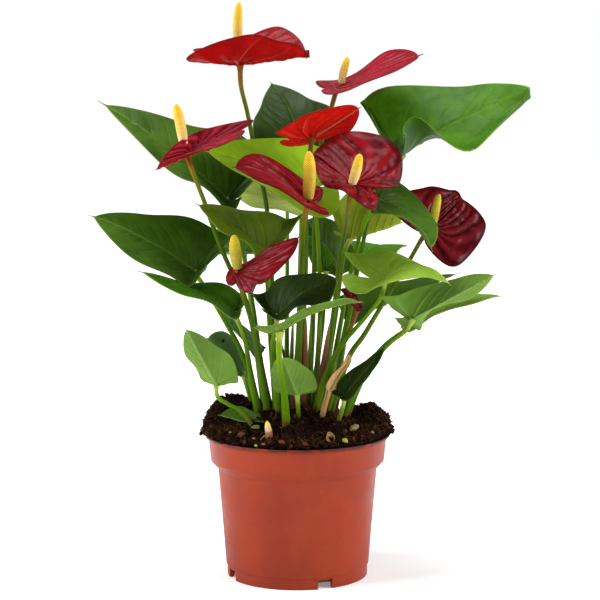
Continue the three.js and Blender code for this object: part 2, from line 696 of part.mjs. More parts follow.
function makePot() {
  const profile = [...potOuter, ...potInner].map(([r, z]) => new THREE.Vector2(r, z));
  let pot = shapeSolid(new THREE.LatheGeometry(profile, potSegments).rotateX(Math.PI / 2));
  const notch = new THREE.BoxGeometry(4 * footWidth, notchWidth, 2 * notchHeight);
  const drain = new THREE.CylinderGeometry(drainRadius, drainRadius, 2 * floorTop, drainSides);
  drain.rotateX(Math.PI / 2);
  for (let i = 0; i < notchCount; i += 1) {
    const turn = THREE.MathUtils.degToRad(notchTurn + (360 * i) / notchCount);
    const x = Math.cos(turn);
    const y = Math.sin(turn);
    const slot = notch.clone().rotateZ(turn).translate(footRadius * x, footRadius * y, 0);
    const hole = drain.clone().translate(drainCircle * x, drainCircle * y, floorTop);
    pot = pot.subtract(shapeSolid(slot)).subtract(shapeSolid(hole));
  }
  return makeMesh("pot", pot, terracotta, new THREE.Vector3());
}

// ---- soil ---------------------------------------------------------------------------
// The peat is mounded round the stems, with two heaps behind them.
const heaps = [
  { height: 15, right: -42, back: 22, across: 20, deep: 22 },
  { height: 10, right: 46, back: 20, across: 15, deep: 20 },
];

function soilHeight(x, y) {
  const r = Math.hypot(x, y) / (bandTopRadius - wall);
  const mound = moundHeight * (1 - Math.min(1, r) ** 2) ** moundFall;
  const heaped = heaps.reduce((sum, { height, right, back, across, deep }) => (
    sum + height * Math.exp(-(((x - right) / across) ** 2 + ((y - back) / deep) ** 2))
  ), 0);
  const fade = Math.min(1, 3 * (1 - r));
  const rough = crumble * Math.sin(x * crumbleWave + 1) * Math.cos(y * crumbleWave) * fade;
  return soilEdge + mound + heaped + rough;
}

// Its outline from the pot's floor up the wall, then in over the heap.
function soilRows() {
  const outer = bandTopRadius - wall - 2 * soilClearance;
  const sides = potInner.slice(1, -1).reverse()
    .map(([r, z]) => [r - soilClearance, Math.min(z + gap, soilEdge - edgeDrop)]);
  const shares = [0.985, 0.88, 0.72, 0.54, 0.36, 0.18];
  return [
    ...sides.map(([r, z]) => (x, y) => [r * x, r * y, z]),
    ...shares.map((share) => (x, y) => {
      const [right, back] = [share * outer * x, share * outer * y];
      return [right, back, soilHeight(right, back)];
    }),
  ];
}

function makeSoil(pockets) {
  const rows = soilRows();
  const shell = newShell();
  shell.points.push(new THREE.Vector3(0, 0, floorTop + gap));
  rows.forEach((row) => {
    for (let i = 0; i < potSegments; i += 1) {
      const a = (2 * Math.PI * i) / potSegments;
      shell.points.push(real(row(Math.cos(a), Math.sin(a))));
    }
  });
  const crown = shell.points.length;
  shell.points.push(new THREE.Vector3(0, 0, soilHeight(0, 0)));
  const id = (r, i) => 1 + r * potSegments + (i % potSegments);
  for (let i = 0; i < potSegments; i += 1) {
    shell.faces.push(0, id(0, i + 1), id(0, i));
    for (let r = 0; r + 1 < rows.length; r += 1) {
      addQuad(shell, id(r, i), id(r, i + 1), id(r + 1, i + 1), id(r + 1, i));
    }
    shell.faces.push(crown, id(rows.length - 1, i), id(rows.length - 1, i + 1));
  }
  const soil = pockets.reduce((left, pocket) => left.subtract(pocket), toSolid(shell));
  return makeMesh("soil", largest(soil), peat, new THREE.Vector3());
}

// ---- leaves, flowers and small things -----------------------------------------------
function makeLeaf(name, spec) {
  const girth = spec.girth ?? leafStalk;
  const solid = bladeSolid(spec).add(stalkSolid(spec, girth));
  const mesh = makeMesh(name, largest(solid), spec.look, spec.root);
  return { meshes: [mesh], pocket: stalkSolid(spec, girth, gap) };
}

function makeFlower(name, spec) {
  const clearance = bladeSolid(spec, leafThickness + 2 * gap);
  const stalk = largest(stalkSolid(spec, flowerStalk).subtract(clearance));
  const spike = largest(spadixSolid(spec).subtract(clearance));
  const meshes = [
    makeMesh(`stalk_${name}`, stalk, redStalk, spec.root),
    makeMesh(`spathe_${name}`, bladeSolid(spec), spec.look, spec.base),
    makeMesh(`spadix_${name}`, spike, spec.spike, spec.spadix[0]),
  ];
  return { meshes, pocket: stalkSolid(spec, flowerStalk, gap) };
}

function pegSolid(foot, top, radius) {
  const long = foot.distanceTo(top);
  const peg = new THREE.CylinderGeometry(radius, radius, long, pegSides).translate(0, long / 2, 0);
  return shapeSolid(standAlong(peg, foot, top));
}

function makeStub() {
  const [foot, top] = [rootPoint(stub.root), place(stub.top)];
  const drillFoot = top.clone().setZ(top.z - stub.boreDepth);
  const drill = pegSolid(drillFoot, top.clone().setZ(top.z + gap), stub.bore);
  const solid = largest(pegSolid(foot, top, stub.radius).subtract(drill));
  const mesh = makeMesh("stem_stub", solid, driedSheath, foot);
  const pocketFoot = foot.clone().setZ(foot.z - gap);
  return { meshes: [mesh], pocket: pegSolid(pocketFoot, top, stub.radius + gap) };
}

function makeRootTip() {
  const [foot, top] = [rootPoint(nub.root), place(nub.top)];
  const mesh = makeMesh("root_tip", pegSolid(foot, top, nub.radius), paleRoot, foot);
  const pocketFoot = foot.clone().setZ(foot.z - gap);
  return { meshes: [mesh], pocket: pegSolid(pocketFoot, top, nub.radius + gap) };
}

// ---- assembly -----------------------------------------------------------------------
const grown = [
  ...Object.entries(leaves).map(([name, spec]) => makeLeaf(name, settle(spec, place))),
  ...Object.entries(rearLeaves).map(([name, spec]) => makeLeaf(name, settle(spec, real))),
  ...Object.entries(flowers).map(([name, spec]) => makeFlower(name, settle(spec, place))),
  makeLeaf("bud_withered", settle({ ...bud, look: maroon }, place)),
  makeLeaf("dry_sheath", settle({ ...sheath, look: driedSheath }, place)),
  makeStub(),
  makeRootTip(),
];

const plant = new THREE.Group();
plant.add(...grown.flatMap((piece) => piece.meshes));

const potted = new THREE.Group();
potted.add(makePot(), makeSoil(grown.map((piece) => piece.pocket)), plant);

export default potted;
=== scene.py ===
import math
import random

import bpy
import numpy as np
from mathutils import Matrix, Vector, noise


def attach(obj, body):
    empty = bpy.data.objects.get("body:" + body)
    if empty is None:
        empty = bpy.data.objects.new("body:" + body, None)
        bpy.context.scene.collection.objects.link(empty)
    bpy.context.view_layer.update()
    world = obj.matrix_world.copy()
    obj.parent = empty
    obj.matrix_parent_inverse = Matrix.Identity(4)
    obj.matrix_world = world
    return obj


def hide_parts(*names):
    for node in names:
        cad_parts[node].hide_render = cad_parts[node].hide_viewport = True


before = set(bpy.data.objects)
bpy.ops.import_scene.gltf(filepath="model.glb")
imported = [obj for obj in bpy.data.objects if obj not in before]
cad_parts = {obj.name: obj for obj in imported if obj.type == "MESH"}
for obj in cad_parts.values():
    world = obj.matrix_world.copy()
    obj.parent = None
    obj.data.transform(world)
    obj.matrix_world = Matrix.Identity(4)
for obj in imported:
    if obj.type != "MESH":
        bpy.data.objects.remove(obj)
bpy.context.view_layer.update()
mm = 0.001
bpy.ops.object.select_all(action="DESELECT")
print("frame loaded,", len(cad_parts), "nodes")

# Where the readings are taken from: places on the plant are [across, down, depth], pixels in a
# 600 pixel square view and millimetres behind the pot's axis.
viewpoint = {
    "eye": Vector((0.0017, -1.2, 0.321)), "aim": Vector((0.0017, 0, 0.180)),
    "focalPixels": 1868, "imagePixels": 600, "sensor": 36, "clipStart": 0.05,
}
forward = (viewpoint["aim"] - viewpoint["eye"]).normalized()
rightward = Vector((1, 0, 0))
upward = rightward.cross(forward)


def place(reading):
    across, down, depth = reading
    middle = viewpoint["imagePixels"] / 2
    ray = forward + rightward * (across - middle) / viewpoint["focalPixels"]
    ray += upward * (middle - down) / viewpoint["focalPixels"]
    return np.array(viewpoint["eye"] + ray * ((depth * mm - viewpoint["eye"].y) / ray.y))


def real(point):
    return np.array(point) * mm


def newMaterial(name, roughness, specular=0.5, coat=0, coatRoughness=0.2):
    material = bpy.data.materials.new(name)
    material.use_nodes = True
    shader = material.node_tree.nodes["Principled BSDF"]
    shader.inputs["Roughness"].default_value = roughness
    shader.inputs["Specular IOR Level"].default_value = specular
    shader.inputs["Coat Weight"].default_value = coat
    shader.inputs["Coat Roughness"].default_value = coatRoughness
    return material, material.node_tree, shader


# Each input is a value, or a socket that it is linked to.
def addNode(tree, kind, settings=None, inputs=None):
    node = tree.nodes.new(kind)
    for key, value in (settings or {}).items():
        setattr(node, key, value)
    for key, value in (inputs or {}).items():
        if isinstance(value, bpy.types.NodeSocket):
            tree.links.new(value, node.inputs[key])
        else:
            node.inputs[key].default_value = value
    return node


def maths(tree, operation, a, b=0.0):
    return addNode(tree, "ShaderNodeMath", {"operation": operation}, {0: a, 1: b}).outputs[0]


def vectorMaths(tree, operation, a, b=(0, 0, 0)):
    return addNode(tree, "ShaderNodeVectorMath", {"operation": operation}, {0: a, 1: b}).outputs


def remap(tree, value, low, high, toLow=0.0, toHigh=1.0, smooth=True):
    kind = "SMOOTHSTEP" if smooth else "LINEAR"
    inputs = {"Value": value, "From Min": low, "From Max": high, "To Min": toLow, "To Max": toHigh}
    return addNode(tree, "ShaderNodeMapRange", {"interpolation_type": kind}, inputs).outputs[0]


def blend(tree, share, a, b):
    a, b = (value if isinstance(value, bpy.types.NodeSocket) else (*value, 1) for value in (a, b))
    return addNode(tree, "ShaderNodeMix", {"data_type": "RGBA"}, {0: share, 6: a, 7: b}).outputs[2]


# A mask lays its share of another colour over the first.
def tint(tree, color, other, mask, share):
    return blend(tree, maths(tree, "MULTIPLY", mask, share), color, other)


def shaded(color, share):
    return tuple(share * part for part in color)


def coordinatesOf(tree):
    return addNode(tree, "ShaderNodeTexCoord").outputs["Object"]


def mottle(tree, scale, detail=3, coordinates=None, roughness=0.6):
    if coordinates is None:
        coordinates = coordinatesOf(tree)
    inputs = {"Vector": coordinates, "Scale": scale, "Detail": detail, "Roughness": roughness}
    return addNode(tree, "ShaderNodeTexNoise", None, inputs).outputs[0]


# Another colour that breaks through the first in soft patches.
def patchy(tree, color, other, scale, detail=3, low=0.3, high=0.7, share=1, coordinates=None):
    patches = remap(tree, mottle(tree, scale, detail, coordinates), low, high, 0, share)
    return blend(tree, patches, color, other)


# Gloss that wanders about one roughness, from a little less to a little more.
def unevenGloss(tree, shader, roughness, scale, less, more):
    spread = remap(tree, mottle(tree, scale, 4), 0.3, 0.7, roughness - less, roughness + more)
    tree.links.new(spread, shader.inputs["Roughness"])


def attribute(tree, name):
    return addNode(tree, "ShaderNodeAttribute", {"attribute_name": name}).outputs["Fac"]


# Coordinates for upright streaks, and the height above the ground.
def streaky(tree, squeeze):
    coordinates = coordinatesOf(tree)
    inputs = {"Vector": coordinates, "Scale": (1, 1, squeeze)}
    streaks = addNode(tree, "ShaderNodeMapping", None, inputs).outputs[0]
    return streaks, addNode(tree, "ShaderNodeSeparateXYZ", None, {"Vector": coordinates}).outputs["Z"]


# The colour and the fine relief of a skin. strength and distance are the bump's own.
def coverWith(tree, shader, color, relief, strength, distance):
    tree.links.new(color, shader.inputs["Base Color"])
    inputs = {"Height": relief, "Strength": strength, "Distance": distance}
    bump = addNode(tree, "ShaderNodeBump", None, inputs)
    tree.links.new(bump.outputs[0], shader.inputs["Normal"])


# Colours of the leaves. A blade has these values at its points: vein counts the side veins, across is
# 0 on the midrib and 1 or -1 at the widest margin, rim is 1 on the margin, ahead runs from the stalk
# (0) to the tip (1) and puff is how far the skin is raised.
leafLooks = {
    "deepLeaf": {
        "deep": (0.0068, 0.0177, 0.001), "light": (0.015, 0.034, 0.0019), "vein": (0.0298, 0.0638, 0.0048),
        "margin": (0.08, 0.14, 0.02), "under": (0.0382, 0.0808, 0.0072), "underVein": (0.0765, 0.1275, 0.018),
        "roughness": 0.38,
    },
    "darkLeaf": {
        "deep": (0.0206, 0.0552, 0.0029), "light": (0.0469, 0.1076, 0.0067), "vein": (0.0828, 0.1656, 0.0134),
        "margin": (0.10, 0.17, 0.02), "under": (0.0633, 0.138, 0.0144), "underVein": (0.1265, 0.207, 0.032),
        "roughness": 0.38,
    },
    "midLeaf": {
        "deep": (0.0262, 0.0927, 0.0016), "light": (0.059, 0.1719, 0.0048), "vein": (0.0684, 0.1638, 0.008),
        "margin": (0.18, 0.28, 0.03), "under": (0.024, 0.0845, 0.0005), "underVein": (0.10, 0.21, 0.010),
        "roughness": 0.4,
    },
    "vividLeaf": {
        "deep": (0.021, 0.0895, 0.0004), "light": (0.0504, 0.1422, 0.0007), "vein": (0.084, 0.2001, 0.0045),
        "margin": (0.16, 0.28, 0.03), "under": (0.0945, 0.2106, 0.0018), "underVein": (0.168, 0.2948, 0.009),
        "roughness": 0.4,
    },
    "brightLeaf": {
        "deep": (0.154, 0.308, 0.0044), "light": (0.242, 0.434, 0.0132), "vein": (0.26, 0.34, 0.02),
        "margin": (0.26, 0.30, 0.03), "under": (0.10, 0.20, 0.002), "underVein": (0.20, 0.31, 0.02),
        "roughness": 0.42,
    },
    "yellowLeaf": {
        "deep": (0.17, 0.24, 0.001), "light": (0.23, 0.30, 0.003), "vein": (0.26, 0.33, 0.01),
        "margin": (0.25, 0.20, 0.03), "under": (0.20, 0.27, 0.004), "underVein": (0.24, 0.30, 0.01),
        "roughness": 0.45,
    },
    "paleLeaf": {
        "deep": (0.1287, 0.2461, 0.0134), "light": (0.2124, 0.3525, 0.0302), "vein": (0.2832, 0.4389, 0.0588),
        "margin": (0.24, 0.32, 0.06), "under": (0.1201, 0.228, 0.028), "underVein": (0.1716, 0.285, 0.063),
        "roughness": 0.44,
    },
    # A pale leaf's own colour, made lighter still as painted light for the shade it lies in among the other
    # leaves.
    "paleLeafPaintedLight": {
        "deep": (0.33, 0.44, 0.08), "light": (0.462, 0.572, 0.15), "vein": (0.462, 0.396, 0.12),
        "margin": (0.30, 0.38, 0.10), "under": (0.396, 0.506, 0.11), "underVein": (0.462, 0.33, 0.1),
        "roughness": 0.5,
    },
    "oliveLeaf": {
        "deep": (0.034, 0.066, 0.001), "light": (0.078, 0.125, 0.003), "vein": (0.11, 0.17, 0.010),
        "margin": (0.16, 0.25, 0.03), "under": (0.060, 0.10, 0.004), "underVein": (0.12, 0.19, 0.02),
        "roughness": 0.4,
    },
    "softLeaf": {
        "deep": (0.0741, 0.1476, 0.0144), "light": (0.1053, 0.1886, 0.0208), "vein": (0.1482, 0.2378, 0.032),
        "margin": (0.18, 0.28, 0.06), "under": (0.0936, 0.1722, 0.018), "underVein": (0.156, 0.246, 0.032),
        "roughness": 0.46,
    },
    "greyLeaf": {
        "deep": (0.0863, 0.1792, 0.054), "light": (0.1479, 0.2688, 0.0918), "vein": (0.2218, 0.3584, 0.108),
        "margin": (0.12, 0.20, 0.06), "under": (0.1356, 0.2464, 0.081), "underVein": (0.2465, 0.3808, 0.135),
        "roughness": 0.44, "spot": [223, 341, 12], "spotSize": 1.1,
    },
    "dry": {
        "deep": (0.34, 0.19, 0.065), "light": (0.58, 0.38, 0.14), "vein": (0.30, 0.16, 0.055),
        "margin": (0.34, 0.19, 0.07), "under": (0.56, 0.36, 0.13), "underVein": (0.34, 0.19, 0.07),
        "roughness": 0.62,
    },
}
veinShift = 100.5  # keeps the counts above nought, with every vein halfway between two whole numbers
veinFade = {"from": 0.55, "to": 0.97, "left": 0.15}  # side veins fade out towards the margin
ribStart = -0.04  # the midrib starts a little behind the stalk
spotLook = {"color": (0.006, 0.006, 0.004), "core": 0.6}
leafFinish = {
    "specular": 0.08, "patches": {"scale": 34, "low": 0.32, "high": 0.68},
    "cells": {"scale": 260, "detail": 2, "low": 0.35, "share": 0.35},
    "veins": {"width": 0.012, "soft": 0.06}, "veinShare": 0.4, "veinSink": 0.8,
    "rib": {"width": 0.012, "soft": 0.035}, "ribShare": 0.85, "edge": [0.985, 1.0], "edgeShare": 0.9,
    "gloss": {"scale": 60, "less": 0.06, "more": 0.1}, "grain": 420,
    "bump": {"strength": 0.22, "distance": 0.0006},
}
leafUnderFinish = {
    "rougher": 0.12, "specular": 0.1, "darker": 0.72, "patches": {"scale": 40, "detail": 4},
    "veins": {"width": 0.015, "soft": 0.07}, "veinShare": 0.55,
    "rib": {"width": 0.018, "soft": 0.03}, "ribShare": 0.9, "grain": 420,
    "bump": {"strength": 0.3, "distance": 0.0007},
}


def veinMask(tree, width, soft):
    phase = maths(tree, "FRACT", maths(tree, "ADD", attribute(tree, "vein"), veinShift))
    away = maths(tree, "ABSOLUTE", maths(tree, "SUBTRACT", phase, 0.5))
    line = remap(tree, away, width, width + soft, 1, 0)
    fade = remap(tree, attribute(tree, "rim"), veinFade["from"], veinFade["to"], 1, veinFade["left"])
    return maths(tree, "MULTIPLY", line, fade)


def midribMask(tree, width, soft):
    away = maths(tree, "ABSOLUTE", attribute(tree, "across"))
    line = remap(tree, away, width, width + soft, 1, 0)
    return maths(tree, "MULTIPLY", line, remap(tree, attribute(tree, "ahead"), ribStart, 0.0))


# A small dark spot, round as seen from the front, if the look has one.
def darkSpot(tree, color, look):
    if "spot" not in look:
        return color
    x, _, z = place(look["spot"])
    flat = vectorMaths(tree, "MULTIPLY", coordinatesOf(tree), (1, 0, 1))[0]
    away = vectorMaths(tree, "DISTANCE", flat, (x, 0, z))["Value"]
    size = look["spotSize"] * mm
    return blend(tree, remap(tree, away, size * spotLook["core"], size, 1, 0), color, spotLook["color"])


def makeLeafTop(name, look):
    finish = leafFinish
    material, tree, shader = newMaterial(name, look["roughness"], finish["specular"])
    color = patchy(tree, look["deep"], look["light"], **finish["patches"])
    color = patchy(tree, color, look["light"], **finish["cells"])
    veins = veinMask(tree, **finish["veins"])
    color = tint(tree, color, look["vein"], veins, finish["veinShare"])
    color = tint(tree, color, look["vein"], midribMask(tree, **finish["rib"]), finish["ribShare"])
    edge = remap(tree, attribute(tree, "rim"), *finish["edge"])
    color = tint(tree, color, look["margin"], edge, finish["edgeShare"])
    unevenGloss(tree, shader, look["roughness"], **finish["gloss"])
    sunk = maths(tree, "MULTIPLY", veins, finish["veinSink"])
    relief = maths(tree, "SUBTRACT", mottle(tree, finish["grain"]), sunk)
    coverWith(tree, shader, darkSpot(tree, color, look), relief, **finish["bump"])
    return material


# The underside of a leaf or a spathe, with its veins raised.
def makeUnderside(name, look, finish):
    material, tree, shader = newMaterial(name, look["roughness"] + finish["rougher"], finish["specular"])
    color = patchy(tree, shaded(look["under"], finish["darker"]), look["under"], **finish["patches"])
    veins = maths(tree, "MULTIPLY", veinMask(tree, **finish["veins"]), finish["veinShare"])
    color = blend(tree, veins, color, look["underVein"])
    ribs = maths(tree, "MULTIPLY", midribMask(tree, **finish["rib"]), finish["ribShare"])
    color = blend(tree, ribs, color, look["underVein"])
    if "edge" in finish:
        edge = remap(tree, attribute(tree, "rim"), *finish["edge"])
        color = tint(tree, color, shaded(look["deep"], finish["edgeDarker"]), edge, finish["edgeShare"])
    relief = maths(tree, "ADD", mottle(tree, finish["grain"]), maths(tree, "ADD", veins, ribs))
    coverWith(tree, shader, darkSpot(tree, color, look), relief, **finish["bump"])
    return material


# ridgeSheen: a painted sheen, the lighter colour laid on the raised skin between the veins.
spatheLooks = {
    "red": {
        "deep": (0.13, 0.001, 0.002), "light": (0.25, 0.004, 0.007), "ridgeSheen": (0.36, 0.02, 0.035),
        "under": (0.29, 0.002, 0.002), "underVein": (0.46, 0.07, 0.05), "roughness": 0.36,
    },
    "scarlet": {
        "deep": (0.32, 0.003, 0.003), "light": (0.48, 0.010, 0.008), "ridgeSheen": (0.56, 0.05, 0.04),
        "under": (0.65, 0.0072, 0.0036), "underVein": (0.62, 0.14, 0.07), "roughness": 0.36,
    },
    "crimson": {
        "deep": (0.051, 0.0005, 0.0014), "light": (0.1403, 0.0012, 0.0042), "ridgeSheen": (0.24, 0.006, 0.012),
        "under": (0.18, 0.0015, 0.003), "underVein": (0.34, 0.03, 0.03), "roughness": 0.34,
    },
    "pinkRed": {
        "deep": (0.136, 0.0012, 0.0042), "light": (0.2295, 0.004, 0.0105), "ridgeSheen": (0.38, 0.025, 0.05),
        "under": (0.23, 0.002, 0.003), "underVein": (0.40, 0.06, 0.05), "roughness": 0.36,
    },
    "maroon": {
        "deep": (0.0318, 0.0006, 0.0011), "light": (0.0981, 0.0018, 0.0039), "ridgeSheen": (0.18, 0.010, 0.018),
        "under": (0.09, 0.002, 0.004), "underVein": (0.18, 0.02, 0.02), "roughness": 0.28,
    },
}
# ridgeSheen and ridgeSheenShare: where and how strongly the painted sheen lies on the raised skin.
spatheFinish = {
    "specular": 0.07, "coat": 0.05, "coatRoughness": 0.12, "patches": {"scale": 55, "detail": 4},
    "ridgeSheen": [0.4, 1.0], "ridgeSheenShare": 0.5, "veins": {"width": 0.02, "soft": 0.10}, "veinShare": 0.6,
    "edge": [0.975, 1.0], "edgeShare": 0.6, "grain": 330,
    "bump": {"strength": 0.12, "distance": 0.0005},
}
spatheUnderFinish = {
    "rougher": 0.12, "specular": 0.06, "darker": 0.75, "patches": {"scale": 45},
    "veins": {"width": 0.004, "soft": 0.035}, "veinShare": 0.55,
    "rib": {"width": 0.012, "soft": 0.02}, "ribShare": 0.7,
    "edge": [0.97, 0.995], "edgeShare": 0.7, "edgeDarker": 0.4, "grain": 330,
    "bump": {"strength": 0.25, "distance": 0.0006},
}


def makeSpatheTop(name, look):
    finish = spatheFinish
    shine = (finish["specular"], finish["coat"], finish["coatRoughness"])
    material, tree, shader = newMaterial(name, look["roughness"], *shine)
    color = patchy(tree, look["deep"], look["light"], **finish["patches"])
    # Painted sheen: the raised skin between the veins is made lighter.
    ridgeSheen = remap(tree, attribute(tree, "puff"), *finish["ridgeSheen"])
    color = tint(tree, color, look["ridgeSheen"], ridgeSheen, finish["ridgeSheenShare"])
    # Painted shade: the sunk veins are darkened.
    color = tint(tree, color, look["deep"], veinMask(tree, **finish["veins"]), finish["veinShare"])
    edge = remap(tree, attribute(tree, "rim"), *finish["edge"])
    color = tint(tree, color, look["deep"], edge, finish["edgeShare"])
    coverWith(tree, shader, color, mottle(tree, finish["grain"]), **finish["bump"])
    return material


bladeSkins = {}  # for each look, the skin of the top and that of the underside
for lookName, look in leafLooks.items():
    under = makeUnderside(lookName + "Under", look, leafUnderFinish)
    bladeSkins[lookName] = [makeLeafTop(lookName + "Top", look), under]
for lookName, look in spatheLooks.items():
    under = makeUnderside(lookName + "Under", look, spatheUnderFinish)
    bladeSkins[lookName] = [makeSpatheTop(lookName + "Top", look), under]
print("blade skins made")


# What every blade, leaf or spathe, shares unless it says otherwise. lobe and sinus: how far the lobes
# and the notch reach behind the stalk, as a share of the length; wide: where it is widest; lobeWidth:
# the lobe's half width there; cup: how deep each half sags, in mm; back: moves it back, in mm.
bladeShape = {
    "lobe": 0.3, "wide": 0.12, "lobeWidth": 0.5, "sinus": 0.03, "shoulder": 0.6, "cup": [0, 0],
    "back": 0, "curves": [34, 18, 12], "rings": 32, "thickness": 0.5, "veinSpacing": 0.15,
    "slant": 0.3, "sweep": 0.16, "fan": 0.3, "groove": 0.45, "puff": 0.42, "rib": 0.6, "wave": 0.5,
    "dimple": 0.0, "arch": 0, "drip": 0.06, "blunt": 0.3, "girth": 3.2, "swell": 0.75, "lift": 0,
    "lastRing": 0.96, "rimRings": [0.985, 1.0], "rimOut": 0.8,
}
spatheShape = {
    "curves": [34, 22, 16], "rings": 42, "thickness": 0.6, "veinSpacing": 0.19, "arch": 0.5,
    "groove": 0.7, "puff": 0.75, "rib": 0.3, "wave": 0.2, "dimple": 0.6, "blunt": 0.42,
}
# How far the handles of the outline's curves reach.
outlineReach = {
    "tip": 0.5, "drip": 0.8, "dripWidth": 0.2, "neckWidth": 0.5, "front": 0.47, "turn": 0.6,
    "lobe": 0.38, "notch": 0.4, "notchWidth": 0.05, "frontCount": 40, "leastWidth": 0.001,
}
# grooveWidth is a share of the veins' spacing and ribWidth is in mm. The skin lies flat near the stalk
# (flatTo) and the margin (flatFrom), and rib and waves die away towards the tip.
reliefShape = {
    "flatTo": 0.12, "flatFrom": 0.86, "grooveWidth": 0.13, "ribWidth": 1.2, "halfWidth": 0.4,
    "ribFade": 0.5, "waves": 5, "wavePower": 3, "waveFade": 0.6, "dimplesAhead": 8,
    "dimplesAcross": 5, "dimpleFractal": (0.7, 2.2, 2),
}


def bezier(corners, count):
    t = np.linspace(0, 1, count + 1)[:, None]
    a, b, c, d = (np.array(p, float) for p in corners)
    return a * (1 - t) ** 3 + 3 * b * t * (1 - t) ** 2 + 3 * c * t ** 2 * (1 - t) + d * t ** 3


# From one value and slope to the next, for t from 0 to 1.
def hermite(t, start, leave, end, arrive):
    return (
        start * (2 * t ** 3 - 3 * t ** 2 + 1) + leave * (t ** 3 - 2 * t ** 2 + t)
        + end * (3 * t ** 2 - 2 * t ** 3) + arrive * (t ** 3 - t ** 2)
    )


def smooth(value, low, high):
    t = np.clip((value - low) / (high - low), 0, 1)
    return t * t * (3 - 2 * t)


def unit(v, otherwise=None):
    size = np.linalg.norm(v, axis=-1, keepdims=True)
    if otherwise is None:
        return v / size
    return np.where(size > 1e-9, v / np.maximum(size, 1e-9), otherwise)


# A smooth mesh, with a number at each point for every name in values.
def newMesh(name, points, faces, values=None):
    mesh = bpy.data.meshes.new(name)
    mesh.from_pydata(np.asarray(points, float).tolist(), [], [tuple(map(int, f)) for f in faces])
    mesh.polygons.foreach_set("use_smooth", [True] * len(faces))
    for key, value in (values or {}).items():
        numbers = np.asarray(value).astype(np.float32)
        mesh.attributes.new(key, "FLOAT", "POINT").data.foreach_set("value", numbers)
    mesh.update()
    return mesh


# Half of the flat heart, from the tip to the notch. Length 1 along x, half width 1 in y.
def halfOutline(spec, counts):
    lobe, wide, lobeWidth = spec["lobe"], spec["wide"], spec["lobeWidth"]
    sinus, drip, blunt = spec["sinus"], spec["drip"], spec["blunt"]
    reach = outlineReach
    neck, neckCount = (1 - drip, reach["neckWidth"] * drip), counts[0] // 4
    dripHandle = (1 - reach["drip"] * drip, reach["dripWidth"] * drip)
    turn = wide - reach["turn"] * (lobe + wide)
    notchHandle = (-(lobe + sinus) / 2, reach["notchWidth"])
    runs = [
        ([(1, 0), (1 - reach["tip"] * drip, 0), dripHandle, neck], neckCount),
        ([neck, (neck[0] - drip, blunt), (wide + reach["front"], 1), (wide, 1)], counts[0] - neckCount),
        ([(wide, 1), (turn, 1), (-lobe, lobeWidth + reach["lobe"]), (-lobe, lobeWidth)], counts[1]),
        ([(-lobe, lobeWidth), (-lobe, reach["notch"] * lobeWidth), notchHandle, (-sinus, 0)], counts[2]),
    ]
    return np.vstack([(1, 0), *[bezier(corners, count)[1:] for corners, count in runs]])


def halfWidthAt(spec, x):
    count = outlineReach["frontCount"]
    edge = halfOutline(spec, [count, 1, 1])[:count + 1][::-1]
    width = np.maximum(np.interp(x, edge[:, 0], edge[:, 1]), outlineReach["leastWidth"])
    return np.where(x <= spec["wide"], 1.0, width)


# The midrib in front of the stalk, and the line between the lobes behind it.
def midribAt(spec, x):
    base, tip, heel, lobe = spec["base"], spec["tip"], spec["heel"], spec["lobe"]
    control = 2 * spec["mid"] - (base + tip) / 2
    start = control - base + 0.5 * (base - heel) / lobe
    bend = heel - base + start * lobe
    t = x[..., None]
    s = -t / lobe
    ahead = base * (1 - t) ** 2 + 2 * control * t * (1 - t) + tip * t ** 2
    return np.where(t >= 0, ahead, base + start * t + bend * s * s)


# From the midrib to the margin: known at the lobe, the widest place and the shoulder.
def reachAt(spec, marks, x):
    lobe, wide, shoulder = spec["lobe"], spec["wide"], spec["shoulder"]
    places = np.array([-lobe, wide, shoulder])
    width = halfWidthAt(spec, np.array(shoulder))
    stops = [
        (marks[0] - spec["heel"]) / spec["lobeWidth"],
        marks[1] - midribAt(spec, places)[1],
        (marks[2] - midribAt(spec, places)[2]) / width,
    ]
    slopes = [(stops[i + 1] - stops[i]) / (places[i + 1] - places[i]) for i in (0, 1)]
    turns = [slopes[0], (slopes[0] + slopes[1]) / 2, np.zeros(3)]
    x = np.clip(x, -lobe, shoulder)[..., None]
    pieces = []
    for i in (0, 1):
        h = places[i + 1] - places[i]
        u = (x - places[i]) / h
        pieces.append(hermite(u, stops[i], turns[i] * h, stops[i + 1], turns[i + 1] * h))
    return np.where(x <= wide, pieces[0], pieces[1])


# Which side vein a spot of the flat heart lies on: whole numbers are on a vein. Ahead of the stalk
# the veins leave the midrib, and behind it they fan out from the stalk. In a spathe they all leave
# the stalk and arch towards the tip.
def veinPhase(spec, x, y):
    if spec["arch"]:
        bent = x - spec["arch"] * (x * x + y * y)
        return np.arctan2(y, bent) / (math.pi * spec["veinSpacing"])
    ahead = x - spec["sweep"] * y ** 2
    lean = ahead - spec["slant"] * y
    turn = np.arctan2(y, ahead) - math.atan2(1, spec["slant"])
    return (np.maximum(lean, 0) - spec["fan"] * np.maximum(turn, 0)) / spec["veinSpacing"]


